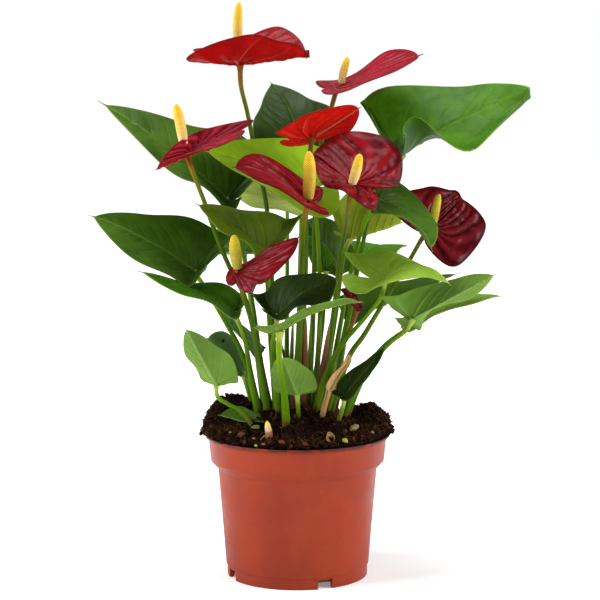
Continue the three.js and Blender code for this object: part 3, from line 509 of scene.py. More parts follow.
# The middle of the blade's thickness, in rings round the stalk's end.
def bladeGrid(spec, seed):
    half = halfOutline(spec, spec["curves"])
    loop = np.vstack([half, half[-2:0:-1]])
    isLeft = np.arange(len(loop)) < len(half)
    share = np.append(np.linspace(0, spec["lastRing"], spec["rings"])[1:], spec["rimRings"])
    x = share[:, None] * loop[:, 0]
    y = share[:, None] * loop[:, 1]
    along = unit(spec["tip"] - spec["base"])
    wide = np.array(spec["wide"])
    across = unit(reachAt(spec, spec["left"], wide)) - unit(reachAt(spec, spec["right"], wide))
    across = unit(across - along * across.dot(along))
    up = np.cross(along, across)
    inside = np.minimum(1, y / halfWidthAt(spec, x))[..., None]
    cup = np.where(isLeft, spec["cup"][0], spec["cup"][1])[None, :, None]
    sag = cup * 4 * inside * (1 - inside) * mm
    leftReach, rightReach = (reachAt(spec, spec[side], x) for side in ("left", "right"))
    reach = np.where(isLeft[None, :, None], leftReach, rightReach)
    spots = midribAt(spec, x) + reach * y[..., None] - up * sag
    inner = np.concatenate([np.broadcast_to(spec["base"], (1, len(loop), 3)), spots[:-1]])
    outer = np.concatenate([spots[1:], spots[-1:]])
    normals = unit(np.cross(outer - inner, np.roll(spots, -1, 1) - np.roll(spots, 1, 1)), up)
    return {
        "x": x, "y": y, "share": np.broadcast_to(share[:, None], x.shape), "isLeft": isLeft,
        "spots": spots, "normals": normals, "up": up, "phase": veinPhase(spec, x, y),
        "length": np.linalg.norm(spec["tip"] - spec["base"]), "seed": seed,
    }


# Veins sunk into the blade, the skin raised between them, small dimples and a wavy margin.
def reliefOf(spec, grid):
    shape = reliefShape
    away = np.abs((grid["phase"] + veinShift) % 1 - 0.5)
    share, x, y = grid["share"], grid["x"], grid["y"]
    calm = smooth(share, 0, shape["flatTo"]) * (1 - smooth(share, shape["flatFrom"], 1.0))
    grid["puff"] = np.sin(np.pi * np.minimum(1, 2 * away)) * calm
    height = -spec["groove"] * np.exp(-(away / shape["grooveWidth"]) ** 2) * calm
    height += spec["puff"] * grid["puff"]
    ribWidth = shape["ribWidth"] * mm / (shape["halfWidth"] * grid["length"])
    fade = 1 - smooth(x, shape["ribFade"], 1)
    height -= spec["rib"] * np.exp(-(y / ribWidth) ** 2) * (x > 0) * fade * calm
    turn = np.arctan2(np.where(grid["isLeft"], y, -y), x)
    wave = np.sin(shape["waves"] * turn + grid["seed"]) * (1 - smooth(x, shape["waveFade"], 1))
    height += spec["wave"] * share ** shape["wavePower"] * wave
    if spec["dimple"]:
        side = np.where(grid["isLeft"], 1, -1)
        spots = [x * shape["dimplesAhead"], y * side * shape["dimplesAcross"], 0 * x + grid["seed"]]
        spots = np.stack(spots, -1).reshape(-1, 3)
        bumps = [noise.fractal(Vector(p), *shape["dimpleFractal"]) for p in spots]
        height += spec["dimple"] * np.array(bumps).reshape(x.shape) * calm
    return height * mm


def bladeMesh(name, spec, seed):
    grid = bladeGrid(spec, seed)
    height = reliefOf(spec, grid)[..., None]
    spots, normals = grid["spots"], grid["normals"]
    lift = spec["thickness"] * mm / 2
    count, rows = spots.shape[1], spots.shape[0]
    outward = unit(spots[-1] - spots[-2], grid["up"])
    top = spots + normals * (height + lift)
    under = spots + normals * (height - lift)
    rim = spots[-1] + normals[-1] * height[-1] + outward * lift * spec["rimOut"]
    base = spec["base"]
    points = np.vstack([
        [base + grid["up"] * lift], top.reshape(-1, 3), [base - grid["up"] * lift],
        under.reshape(-1, 3), rim,
    ])
    start = 1 + rows * count
    ring = np.arange(count)
    follow = (ring + 1) % count

    def idOf(layer, row, i):
        return layer * start + 1 + row * count + i

    faces, skins = [], []
    for layer in (0, 1):
        made = [(layer * start, a, b) for a, b in zip(idOf(layer, 0, ring), idOf(layer, 0, follow))]
        for row in range(rows - 1):
            corners = (idOf(layer, row, ring), idOf(layer, row + 1, ring),
                       idOf(layer, row + 1, follow), idOf(layer, row, follow))
            made.extend(zip(*corners))
        faces.extend(made if layer == 0 else [f[::-1] for f in made])
        skins.extend([layer] * len(made))
    rimIds = 2 * start + ring
    rimNext = 2 * start + follow
    last = rows - 1
    faces.extend(zip(idOf(0, last, ring), rimIds, rimNext, idOf(0, last, follow)))
    faces.extend(zip(rimIds, idOf(1, last, ring), idOf(1, last, follow), rimNext))
    skins.extend([0] * count + [1] * count)
    side = np.where(grid["isLeft"], 1, -1)[None, :]
    values = {
        "vein": grid["phase"], "across": grid["y"] * side, "rim": grid["share"], "ahead": grid["x"],
        "puff": grid["puff"],
    }
    for key, value in values.items():
        values[key] = np.concatenate([[0], value.ravel(), [0], value.ravel(), value[-1]])
    mesh = newMesh(name, points, faces, values)
    mesh.polygons.foreach_set("material_index", skins)
    mesh.update()
    return mesh


def smoothCurve(points, count):
    points = [np.array(p, float) for p in points]
    points = [2 * points[0] - points[1], *points, 2 * points[-1] - points[-2]]
    found = []
    for a, b, c, d in zip(points, points[1:], points[2:], points[3:]):
        steps = [max(np.linalg.norm(q - p) ** 0.5, 1e-6) for p, q in ((a, b), (b, c), (c, d))]
        leave = (b - a) / steps[0] - (c - a) / (steps[0] + steps[1]) + (c - b) / steps[1]
        arrive = (c - b) / steps[1] - (d - b) / (steps[1] + steps[2]) + (d - c) / steps[2]
        t = np.linspace(0, 1, count, endpoint=False)[:, None]
        found.append(hermite(t, b, leave * steps[1], c, arrive * steps[1]))
    return np.vstack([*found, [points[-2]]])


# Faces of a closed tube of rings, whose last two points close its foot and its top.
def tubeFaces(rows, sides):
    ring = np.arange(sides)
    follow = (ring + 1) % sides
    faces = []
    for low in range(0, (rows - 1) * sides, sides):
        high = low + sides
        faces.extend(zip(low + ring, low + follow, high + follow, high + ring))
    last, foot = (rows - 1) * sides, rows * sides
    faces.extend((foot, a, b) for a, b in zip(follow, ring))
    faces.extend((foot + 1, a, b) for a, b in zip(last + ring, last + follow))
    return faces


# A round bar along a curve. radiusAt takes the way from the foot, in metres, and the whole length.
def barMesh(name, points, radiusAt, sides=16, count=10, flatten=1.0):
    curve = smoothCurve(points, count)
    way = np.concatenate([[0], np.cumsum(np.linalg.norm(np.diff(curve, axis=0), axis=1))])
    tangents = unit(np.gradient(curve, axis=0))
    lean = np.array([1.0, 0, 0])
    angles = np.arange(sides) * 2 * math.pi / sides
    rings = []
    for spot, tangent, w in zip(curve, tangents, way):
        lean = unit(lean - tangent * lean.dot(tangent))
        side = flatten * np.sin(angles)[:, None] * np.cross(tangent, lean)
        rings.append(spot + radiusAt(w, way[-1]) * (np.cos(angles)[:, None] * lean + side))
    points = np.vstack([*rings, [curve[0]], [curve[-1]]])
    along = np.append(np.repeat(way / way[-1], sides), [0, 1])
    away = np.append(np.repeat(way[-1] - way, sides), [way[-1], 0]) / mm
    return newMesh(name, points, tubeFaces(len(rings), sides), {"along": along, "toTop": away})


stalkLooks = {
    "leafStalk": {
        "foot": (0.032, 0.092, 0.001), "middle": (0.066, 0.145, 0.001), "top": (0.15, 0.26, 0.006),
        "joint": (0.34, 0.40, 0.08), "jointFrom": 9, "jointTo": 3, "topStart": 0.6,
        "ground": (0.12, 0.055, 0.016),
    },
    "flowerStalk": {
        "foot": (0.030, 0.082, 0.003), "middle": (0.066, 0.118, 0.004), "top": (0.15, 0.12, 0.010),
        "joint": (0.24, 0.04, 0.012), "jointFrom": 18, "jointTo": 3, "topStart": 0.75,
        "ground": (0.10, 0.035, 0.014),
    },
    "drySheath": {
        "foot": (0.20, 0.085, 0.030), "middle": (0.40, 0.22, 0.075), "top": (0.52, 0.33, 0.12),
        "joint": (0.42, 0.29, 0.13), "jointFrom": 4, "jointTo": 1, "topStart": 0.7,
        "ground": (0.10, 0.045, 0.016),
    },
}
# Near the peat a stalk is brown up to a ragged line: soiled is in metres above the ground.
stalkFinish = {
    "roughness": 0.42, "specular": 0.05, "foot": [0.02, 0.35], "jointShare": 0.8, "squeeze": 0.08,
    "stripes": {"scale": 700, "low": 0.35, "share": 0.35}, "soiled": [0.108, 0.124],
    "soiledShare": 0.85, "ragged": 0.016, "raggedScale": 160, "grain": 700,
    "bump": {"strength": 0.2, "distance": 0.0005},
}


def makeStalkSkin(name, look):
    finish = stalkFinish
    material, tree, shader = newMaterial(name, finish["roughness"], finish["specular"])
    along = attribute(tree, "along")
    color = blend(tree, remap(tree, along, *finish["foot"]), look["foot"], look["middle"])
    color = blend(tree, remap(tree, along, look["topStart"], 1.0), color, look["top"])
    joint = remap(tree, attribute(tree, "toTop"), look["jointTo"], look["jointFrom"], 1, 0)
    color = tint(tree, color, look["joint"], joint, finish["jointShare"])
    streaks, height = streaky(tree, finish["squeeze"])
    color = patchy(tree, color, look["foot"], **finish["stripes"], coordinates=streaks)
    ragged = maths(tree, "MULTIPLY", mottle(tree, finish["raggedScale"]), finish["ragged"])
    low = remap(tree, maths(tree, "ADD", height, ragged), *finish["soiled"], finish["soiledShare"], 0)
    color = blend(tree, low, color, look["ground"])
    coverWith(tree, shader, color, mottle(tree, finish["grain"], 3, streaks), **finish["bump"])
    return material


stalkSkins = {name: makeStalkSkin(name, look) for name, look in stalkLooks.items()}
print("stalk skins made")

rootDepth = 84  # how high above the ground the stalks leave their roots, in mm
rootSpread = 0.85  # how far out they root, as a share of the distance given


def rootPoint(root):
    return np.array([rootSpread * root[0], rootSpread * root[1], rootDepth]) * mm


# A blade's written places as points.
def settle(written, toPoint, extra=None):
    spec = {**bladeShape, **(extra or {}), **written}

    def onBlade(p):
        return toPoint([p[0], p[1], p[2] + spec["back"]])

    left = [onBlade(p) for p in spec["left"]]
    right = [onBlade(p) for p in spec["right"]]
    base, tip = onBlade(spec["base"]), onBlade(spec["tip"])
    return {
        **spec, "left": left, "right": right, "base": base, "tip": tip,
        "mid": onBlade(spec["mid"]) if "mid" in spec else (base + tip) / 2,
        "heel": onBlade(spec["heel"]) if "heel" in spec else (left[0] + right[0]) / 2,
        "stalk": [toPoint(p) for p in spec["stalk"]],
        "spadix": [onBlade(p) for p in spec.get("spadix", [])],
        "root": rootPoint(spec["root"]),
    }


# Shares of a stalk's girth, and lengths in mm: a stalk thins on the way up, swells at its foot and
# below the joint, and flares where it meets the blade.
stalkShape = {
    "foot": 1.05, "thinner": 0.27, "swellLength": 50, "flareLength": 3.5, "joint": 0.16, "jointAt": 9,
    "jointLength": 6, "sides": 16, "steps": 12, "leafFlare": 0.5, "flowerFlare": 0.7,
    "flowerGirth": 3.4,
}


def stalkMesh(name, spec, girth, flare):
    shape = stalkShape
    points = [spec["root"], *spec["stalk"][::-1], spec["base"]]

    def bump(away, length):
        return math.exp(-(away / (length * mm)) ** 2)

    def radiusAt(w, whole):
        thin = shape["foot"] - shape["thinner"] * w / whole
        foot = spec["swell"] * bump(w, shape["swellLength"])
        top = flare * bump(whole - w, shape["flareLength"])
        joint = shape["joint"] * bump(whole - w - shape["jointAt"] * mm, shape["jointLength"])
        return girth * mm / 2 * (thin + foot + top + joint)

    return barMesh(name, points, radiusAt, shape["sides"], shape["steps"])


# Where the leaves are, as [across, down, depth]: back moves a blade by so many mm, and root is
# [right, behind] of the pot's axis. Flowers, bud and sheath are read in the same way.
leafPlaces = {
    "leaf_upper_left": {
        "base": [226, 199, 0], "mid": [165, 146, 0], "tip": [98, 101, 10], "heel": [243, 188, -2],
        "left": [[240, 198, -20], [209, 192, -32], [160, 162, -20]],
        "right": [[264, 166, 24], [243, 136, 30], [178, 122, 18]],
        "stalk": [[231, 208, 8], [240, 240, 18], [252, 300, 28], [262, 370, 26]],
        "root": [-16, 20], "look": "darkLeaf",
    },
    "leaf_mid_left": {
        "base": [194, 271, -12], "mid": [143, 238, -22], "tip": [88, 215, -30], "heel": [212, 258, -10],
        "left": [[205, 266, -28], [174, 279, -42], [126, 253, -44]],
        "right": [[231, 240, 2], [199, 221, 6], [140, 214, -8]],
        "stalk": [[203, 285, -6], [223, 318, -4], [243, 356, -2]],
        "root": [-24, 1], "look": "darkLeaf",
    },
    "leaf_lower_left": {
        "base": [234, 312, -22], "mid": [188, 287, -33], "tip": [137, 271, -48], "back": -8,
        "left": [[241, 310, -36], [215, 306, -48], [175, 292, -52]],
        "right": [[245, 296, -12], [228, 286, -4], [180, 281, -18]],
        "stalk": [[244, 337, -30], [251, 375, -20]],
        "root": [-23, -11], "look": "vividLeaf",
    },
    "leaf_small_left": {
        "base": [216, 385, -42], "tip": [185, 327, -60],
        "left": [[232, 382, -38], [234, 362, -40], [211, 342, -48]],
        "right": [[213, 380, -36], [197, 370, -32], [184, 350, -42]],
        "stalk": [[218, 397, -38], [228, 404, -36], [242, 412, -35]],
        "swell": 0.3, "wave": 0.1, "root": [-22, -34], "look": "paleLeaf", "girth": 2.6,
    },
    "leaf_spotted": {
        "base": [241, 371, 12], "tip": [206, 337, 0],
        "left": [[246, 368, 22], [238, 348, 26], [222, 331, 18]],
        "right": [[243, 374, 0], [228, 366, -8], [212, 352, -6]],
        "stalk": [[246, 382, 12]],
        "root": [-27, 12], "look": "greyLeaf", "girth": 2.8,
    },
    "leaf_on_soil": {
        "base": [261, 420, -18], "tip": [218, 415, -8], "back": -8,
        "left": [[262, 421, -20], [253, 421, -24], [236, 420, -21]],
        "right": [[260, 417, -16], [250, 410, -9], [236, 407, 0]],
        "stalk": [],
        "root": [-25, -25], "look": "darkLeaf", "girth": 2.4,
    },
    "leaf_centre_left": {
        "base": [266, 252, -35], "mid": [232, 225, -44], "tip": [195, 203, -60],
        "left": [[273, 257, -46], [252, 250, -58], [218, 228, -66]],
        "right": [[300, 219, -24], [276, 214, -26], [232, 208, -40]],
        "stalk": [[267, 275, -24], [268, 300, -14], [272, 360, -14]],
        "root": [-13, -11], "look": "oliveLeaf",
    },
    "leaf_bright_upper": {
        "base": [313, 188, 5], "mid": [255, 165, 0], "tip": [204, 151, -8],
        "left": [[339, 195, -8], [288, 202, -26], [238, 172, -24]],
        "right": [[335, 150, 18], [304, 141, 22], [240, 140, 8]],
        "stalk": [[318, 240, 4], [320, 310, 2]],
        "root": [11, -1], "look": "brightLeaf",
    },
    "leaf_pale_inner": {
        "base": [302, 205, 32], "tip": [228, 187, 36], "wide": 0.3,
        "left": [[305, 195, 40], [280, 185, 36], [250, 180, 34]],
        "right": [[306, 214, 18], [280, 209, 16], [250, 206, 22]],
        "stalk": [[300, 260, 28], [298, 340, 22]],
        "root": [-5, 21], "look": "paleLeafPaintedLight",
    },
    "leaf_top_centre": {
        "base": [300, 150, 38], "mid": [290, 112, 56], "tip": [269, 81, 80], "back": 10,
        "left": [[275, 150, 22], [253, 127, 36], [262, 103, 60]],
        "right": [[322, 160, 30], [338, 118, 40], [305, 96, 64]],
        "stalk": [[304, 190, 56], [304, 230, 52], [302, 320, 38]],
        "root": [2, 31], "look": "deepLeaf", "blunt": 0.12,
    },
    "leaf_top_right": {
        "base": [403, 155, -8], "mid": [464, 117, -2], "tip": [530, 88, -12], "heel": [384, 138, -4],
        "left": [[370, 113, 12], [378, 89, 24], [474, 86, 16]],
        "right": [[396, 130, -26], [414, 117, -40], [480, 145, -42]],
        "stalk": [[388, 185, 7], [371, 212, 11], [362, 248, 12], [352, 300, 12]],
        "drip": 0, "blunt": 0.1, "root": [22, 9], "cup": [0, 5], "look": "midLeaf",
    },
    "leaf_drooping_right": {
        "base": [379, 199, -24], "mid": [408, 218, -46], "tip": [433, 252, -78],
        "left": [[378, 180, -5], [402, 184, -10], [437, 225, -48]],
        "right": [[372, 205, -32], [391, 214, -46], [422, 231, -66]],
        "stalk": [[364, 225, -12], [356, 250, 8], [345, 300, 5]],
        "root": [17, 2], "look": "darkLeaf",
    },
    "leaf_yellow_inner": {
        "base": [350, 239, 12], "tip": [404, 222, 30], "heel": [336, 226, 12], "back": 12,
        "left": [[334, 231, 30], [366, 235, 34], [390, 227, 40]],
        "right": [[332, 214, -5], [348, 192, -12], [385, 195, 0]],
        "stalk": [[345, 250, 22], [335, 320, 20]],
        "root": [13, 17], "look": "yellowLeaf",
    },
    "leaf_mid_right": {
        "base": [386, 278, -38], "mid": [421, 267, -56], "tip": [451, 286, -78], "heel": [352, 268, -28],
        "left": [[345, 254, -10], [378, 250, -6], [428, 267, -42]],
        "right": [[343, 276, -46], [376, 287, -62], [428, 278, -82]],
        "stalk": [[381, 297, -36], [364, 319, -31], [341, 346, -26], [326, 375, -21]],
        "root": [7, -17], "lobe": 0.5, "lobeWidth": 0.6, "sinus": 0.2, "look": "paleLeaf",
    },
    "leaf_pale_right": {
        "base": [413, 319, -32], "tip": [498, 273, -45], "back": -12,
        "left": [[410, 322, -20], [430, 312, -22], [474, 296, -30]],
        "right": [[384, 300, -28], [414, 289, -24], [462, 277, -26]],
        "stalk": [[407, 329, -44], [390, 343, -36], [377, 357, -24], [357, 386, -9]],
        "root": [25, -4], "look": "paleLeaf",
    },
    "leaf_low_right": {
        "base": [411, 327, -20], "mid": [456, 305, -10], "tip": [505, 296, -8], "back": 14,
        "left": [[395, 318, -2], [425, 307, 10], [472, 295, 8]],
        "right": [[402, 327, -31], [430, 319, -33], [474, 303, -28]],
        "stalk": [[400, 334, -5], [383, 347, -3], [366, 372, -1]],
        "root": [28, 5], "look": "paleLeaf",
    },
    "leaf_centre_front": {
        "base": [278, 316, -58], "mid": [306, 291, -68], "tip": [340, 278, -84], "back": 12,
        "left": [[251, 294, -46], [274, 281, -40], [312, 274, -56]],
        "right": [[263, 309, -66], [294, 309, -86], [330, 300, -92]],
        "stalk": [[275, 330, -36], [272, 350, -30], [275, 380, -26]],
        "root": [-12, -21], "look": "deepLeaf",
    },
    "leaf_front": {
        "base": [280, 331, -66], "mid": [320, 310, -74], "tip": [363, 302, -84], "back": -8,
        "left": [[254, 328, -52], [288, 327, -44], [330, 306, -60]],
        "right": [[256, 326, -78], [294, 314, -90], [336, 300, -96]],
        "stalk": [[279, 348, -74], [280, 368, -67], [284, 392, -52]],
        "swell": 0.4, "root": [-7, -29], "look": "softLeaf", "girth": 4.2,
    },
    "leaf_small_front": {
        "base": [297, 394, -38], "tip": [281, 356, -56],
        "left": [[305, 393, -32], [315, 378, -38], [300, 363, -48]],
        "right": [[283, 393, -38], [271, 378, -44], [274, 364, -52]],
        "stalk": [[298, 406, -34]],
        "swell": 0.15, "root": [2, -25], "look": "paleLeaf", "girth": 2.6,
    },
    "leaf_small_right": {
        "base": [344, 397, -25], "tip": [387, 346, -40], "heel": [332, 394, -24], "back": -10,
        "left": [[328, 389, -18], [345, 376, -12], [368, 358, -26]],
        "right": [[337, 397, -34], [358, 389, -44], [372, 373, -46]],
        "stalk": [[343, 406, -33]],
        "swell": 0.2, "root": [22, -27], "look": "deepLeaf", "girth": 2.6,
    },
    "leaf_inner_left": {
        "base": [258, 353, 14], "tip": [221, 311, 6],
        "left": [[260, 356, 8], [247, 347, 4], [232, 328, 2]],
        "right": [[265, 348, 20], [256, 338, 22], [238, 322, 14]],
        "stalk": [[262, 375, 14]],
        "root": [-18, 10], "look": "greyLeaf", "girth": 2.8,
    },
    "leaf_back_right": {
        "base": [352, 318, 18], "tip": [461, 272, 14], "back": 20,
        "left": [[338, 300, 30], [360, 286, 34], [410, 280, 26]],
        "right": [[345, 318, 2], [372, 312, 0], [415, 292, 4]],
        "stalk": [[345, 340, 34], [336, 380, 26]],
        "root": [17, 22], "look": "darkLeaf",
    },
    "leaf_back_centre": {
        "base": [338, 276, 48], "tip": [306, 217, 70],
        "left": [[320, 270, 42], [312, 252, 52], [303, 230, 64]],
        "right": [[350, 268, 44], [352, 245, 48], [332, 220, 62]],
        "stalk": [[336, 300, 48], [331, 340, 38]],
        "root": [10, 28], "look": "darkLeaf", "girth": 2.8,
    },
    "leaf_back_inner": {
        "base": [326, 271, 28], "tip": [305, 235, 38],
        "left": [[318, 268, 26], [309, 256, 28], [304, 244, 36]],
        "right": [[331, 265, 30], [329, 250, 34], [318, 240, 38]],
        "stalk": [[322, 330, 24]],
        "root": [5, 20], "look": "midLeaf", "girth": 2.8,
    },
}


# Leaves at the back, in plain mm: [right, behind, up].
rearLeafPlaces = {
    "leaf_rear_upper": {
        "base": [-8, 66, 252], "mid": [-14, 98, 268], "tip": [-20, 132, 258],
        "left": [[-18, 60, 256], [-38, 76, 262], [-38, 104, 268]],
        "right": [[1, 64, 255], [16, 84, 264], [6, 110, 270]],
        "stalk": [[-7, 58, 236], [-7, 42, 170]],
        "root": [-9, 39], "look": "midLeaf", "girth": 3,
    },
    "leaf_rear_left": {
        "base": [-36, 50, 206], "mid": [-54, 76, 218], "tip": [-76, 100, 212],
        "left": [[-38, 34, 210], [-66, 52, 212], [-78, 74, 218]],
        "right": [[-20, 48, 209], [-26, 78, 216], [-46, 98, 218]],
        "stalk": [[-34, 46, 194], [-27, 34, 140]],
        "root": [-22, 27], "look": "darkLeaf",
    },
    "leaf_rear_right": {
        "base": [40, 66, 196], "mid": [54, 94, 207], "tip": [66, 124, 200],
        "left": [[26, 56, 200], [22, 80, 206], [36, 106, 209]],
        "right": [[54, 52, 199], [68, 70, 205], [76, 96, 207]],
        "stalk": [[38, 60, 184], [29, 44, 140]],
        "root": [21, 30], "look": "midLeaf",
    },
}


# Here girth is how thick the spadix is, in mm, and lift how far up it starts.
flowerPlaces = {
    "top": {
        "base": [240, 64, 0], "mid": [274, 59, -2], "tip": [309, 50, -6], "heel": [208, 57, 2],
        "left": [[196, 52, 14], [240, 40, 28], [283, 28, 22]],
        "right": [[190, 54, -8], [247, 35, -30], [284, 42, -28]],
        "stalk": [
            [241, 86, 3], [247, 111, 9], [253, 141, 17], [259, 170, 14], [266, 203, 8],
            [271, 260, 4], [273, 340, 2],
        ],
        "root": [-11, 1], "lobe": 0.65, "sinus": 0.25, "cup": [0, 5],
        "spadix": [[239, 60, 0], [239, 2, 0]], "girth": 6.2, "look": "red", "spike": "golden",
    },
    "upper_right": {
        "base": [337, 88, 14], "mid": [378, 72, 10], "tip": [423, 54, 4],
        "left": [[316, 83, 30], [352, 75, 36], [392, 50, 24]],
        "right": [[322, 92, -2], [362, 84, -10], [402, 68, -8]],
        "stalk": [
            [331, 109, 22], [323, 135, 31], [317, 175, 32], [315, 212, 22], [314, 273, 10],
            [312, 340, 8],
        ],
        "dimple": 0.15, "groove": 0.35, "puff": 0.4, "root": [5, 9], "sinus": 0.15,
        "spadix": [[341, 84, 14], [348, 57, 14]], "girth": 5, "look": "pinkRed", "spike": "golden",
    },
    "left": {
        "base": [187, 155, -30], "tip": [155, 170, -78],
        "left": [[244, 133, -34], [198, 152, -54], [168, 161, -68]],
        "right": [[253, 121, -6], [205, 129, -8], [172, 147, -46]],
        "stalk": [
            [192, 170, -38], [204, 201, -42], [218, 240, -36], [230, 268, -32], [243, 293, -32],
            [251, 320, -24], [261, 375, -9],
        ],
        "lift": 3.0, "root": [-17, -4], "lobe": 0.85, "sinus": 0.7,
        "spadix": [[185, 150, -30], [176, 104, -30]], "girth": 6.5, "look": "pinkRed", "spike": "golden",
    },
    "red_behind": {
        "base": [312, 138, 10], "tip": [361, 107, -2], "heel": [287, 137, 8], "back": -14,
        "left": [[281, 141, 10], [324, 139, 14], [352, 129, 0]],
        "right": [[278, 134, -5], [300, 118, -12], [340, 106, -14]],
        "stalk": [[309, 162, -14], [308, 190, -28], [306, 215, -29], [306, 260, -24], [303, 330, -16]],
        "root": [1, -7], "lobe": 0.8, "sinus": 0.3,
        "spadix": [[311, 138, 12], [309, 114, 18]], "girth": 4.6, "look": "scarlet", "spike": "golden",
    },
    "big_dark": {
        "base": [352, 184, -40], "tip": [311, 152, -14], "heel": [381, 190, -36], "back": -10,
        "left": [[378, 203, -44], [344, 191, -56], [321, 182, -32]],
        "right": [[394, 187, -28], [392, 142, -20], [346, 132, -14]],
        "stalk": [[348, 209, -44], [345, 228, -30], [340, 255, -6], [334, 310, -3]],
        "veinSpacing": 0.24, "arch": 0.7, "root": [12, -8], "lobe": 0.8, "sinus": 0.5,
        "spadix": [[352, 184, -42], [360, 154, -50]], "girth": 6.2, "look": "crimson", "spike": "golden",
    },
    "dark_left": {
        "base": [307, 201, -45], "mid": [268, 176, -54], "tip": [232, 167, -66],
        "heel": [322, 203, -45], "back": -22,
        "left": [[328, 211, -60], [287, 194, -72], [253, 178, -74]],
        "right": [[323, 193, -32], [296, 174, -26], [256, 154, -44]],
        "stalk": [[303, 235, -52], [302, 268, -34], [300, 330, -26]],
        "spadix": [[308, 200, -46], [309, 151, -47]], "girth": 7.6, "root": [-2, -16],
        "look": "crimson", "spike": "darkGolden",
    },
    "right_dark": {
        "base": [433, 227, -32], "tip": [463, 197, -18], "heel": [417, 237, -40], "back": 30,
        "left": [[395, 214, -36], [428, 187, -20], [452, 190, -16]],
        "right": [[435, 256, -46], [474, 250, -36], [485, 222, -24]],
        "stalk": [
            [424, 236, 2], [409, 261, 8], [394, 285, 6], [376, 315, -2], [364, 335, -8],
            [349, 357, -12],
        ],
        "veinSpacing": 0.28, "arch": 0.95, "root": [18, -10], "lobe": 0.8, "sinus": 0.3,
        "spadix": [[433, 225, -33], [439, 194, -42]], "girth": 5.6, "look": "maroon", "spike": "yellowGreen",
    },
    "low_left": {
        "base": [239, 270, -70], "mid": [266, 258, -76], "tip": [302, 235, -84], "heel": [236, 289, -80],
        "left": [[229, 285, -75], [243, 264, -61], [276, 244, -72]],
        "right": [[247, 293, -86], [262, 284, -92], [287, 261, -92]],
        "stalk": [[242, 292, -60], [248, 310, -45], [253, 328, -33], [258, 352, -26]],
        "groove": 0.3, "puff": 0.35, "root": [-18, -16], "sinus": 0.2,
        "spadix": [[238, 269, -70], [234, 235, -75]], "girth": 7, "look": "crimson", "spike": "yellowGreen",
    },
}


budPlaces = {
    "base": [357, 310, -16], "tip": [340, 289, -16],
    "left": [[359, 312, -18], [350, 300, -20], [344, 294, -19]],
    "right": [[361, 308, -14], [356, 298, -12], [348, 291, -13]],
    "stalk": [[352, 325, -16], [345, 341, -16], [338, 375, -16]],
    "root": [13, -14], "girth": 2.6, "groove": 0.3, "puff": 0.35, "wave": 1.0, "dimple": 0.7,
    "cup": [-2.2, -2.2], "curves": [20, 12, 8], "rings": 18, "look": "maroon",
}


sheathPlaces = {
    "base": [331, 388, -33], "tip": [350, 352, -37],
    "left": [[329, 389, -33], [332, 376, -35], [344, 362, -38]],
    "right": [[334, 389, -33], [341, 374, -33], [350, 361, -36]],
    "stalk": [[326, 405, -31]],
    "root": [14, -26], "girth": 2.4, "swell": 0.0, "groove": 0.2, "puff": 0.2, "wave": 0.8,
    "dimple": 0.5, "cup": [-1.5, -1.5], "curves": [20, 12, 8], "rings": 18, "veinSpacing": 0.1,
    "look": "dry",
}


def joined(first, *others):
    bpy.ops.object.select_all(action="DESELECT")
    for piece in (*others, first):
        piece.select_set(True)
    bpy.context.view_layer.objects.active = first
    bpy.ops.object.join()
    bpy.ops.object.select_all(action="DESELECT")
    return first


def bareObject(name, mesh, materials):
    piece = bpy.data.objects.new(name, mesh)
    bpy.context.scene.collection.objects.link(piece)
    for material in materials:
        mesh.materials.append(material)
    return piece


def adopt(piece, node):
    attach(piece, "root")
    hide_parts(node)
    return piece


# Blade and stalk grew together, so they are one piece.
def growLeaf(node, spec, seed, stalkLook="leafStalk"):
    blade = bareObject("grown_" + node, bladeMesh(node, spec, seed), bladeSkins[spec["look"]])
    mesh = stalkMesh(node + "_stalk", spec, spec["girth"], stalkShape["leafFlare"])
    stalk = bareObject(node + "_stalk", mesh, [stalkSkins[stalkLook]])
    return adopt(joined(blade, stalk), node)


# Seeds turn the waves and dimples of a blade, so that no two are alike.
seeds = {"rear": 40, "flower": 3, "flowerStep": 1.7, "bud": 71, "sheath": 12}
for number, (node, written) in enumerate(leafPlaces.items()):
    growLeaf(node, settle(written, place), number)
for number, (node, written) in enumerate(rearLeafPlaces.items()):
    growLeaf(node, settle(written, real), seeds["rear"] + number)
print("leaves grown:", len(leafPlaces) + len(rearLeafPlaces))


spadixLooks = {
    "golden": {
        "foot": (0.76, 0.60, 0.30), "middle": (0.72, 0.50, 0.12), "top": (0.76, 0.47, 0.008),
        "gap": (0.34, 0.18, 0.012),
    },
    "darkGolden": {
        "foot": (0.44, 0.26, 0.03), "middle": (0.50, 0.31, 0.012), "top": (0.70, 0.44, 0.006),
        "gap": (0.22, 0.11, 0.006),
    },
    "yellowGreen": {
        "foot": (0.32, 0.28, 0.02), "middle": (0.40, 0.32, 0.015), "top": (0.54, 0.41, 0.010),
        "gap": (0.15, 0.12, 0.006),
    },
}
spadixFinish = {
    "roughness": 0.5, "specular": 0.25, "uneven": 0.16, "unevenScale": 90, "middle": [0.12, 0.5],
    "top": [0.5, 0.9], "gaps": [0.1, 0.75, 0.95, 0], "grain": 1400, "inside": 0.08,
    "insideRadius": (0.002, 0.001, 0.0004), "bump": {"strength": 0.25, "distance": 0.0003},
}
# bumpLength, height, thin and sunk are in mm. crowd draws the rows together towards the round top.
spadixShape = {
    "around": 12, "bumpLength": 1.45, "samples": 5, "height": 0.45, "foot": 0.74, "crowd": 0.25,
    "crowdPower": 0.97, "shortOfTop": 0.9995, "shortTurn": 0.999, "fullest": 0.85, "blunt": 9,
    "footStart": 0.45, "footRise": 0.05, "bumpPower": 0.55, "bumpZero": 0.6, "thin": 1.2,
    "bow": 0.025, "sunk": 0.2,
}


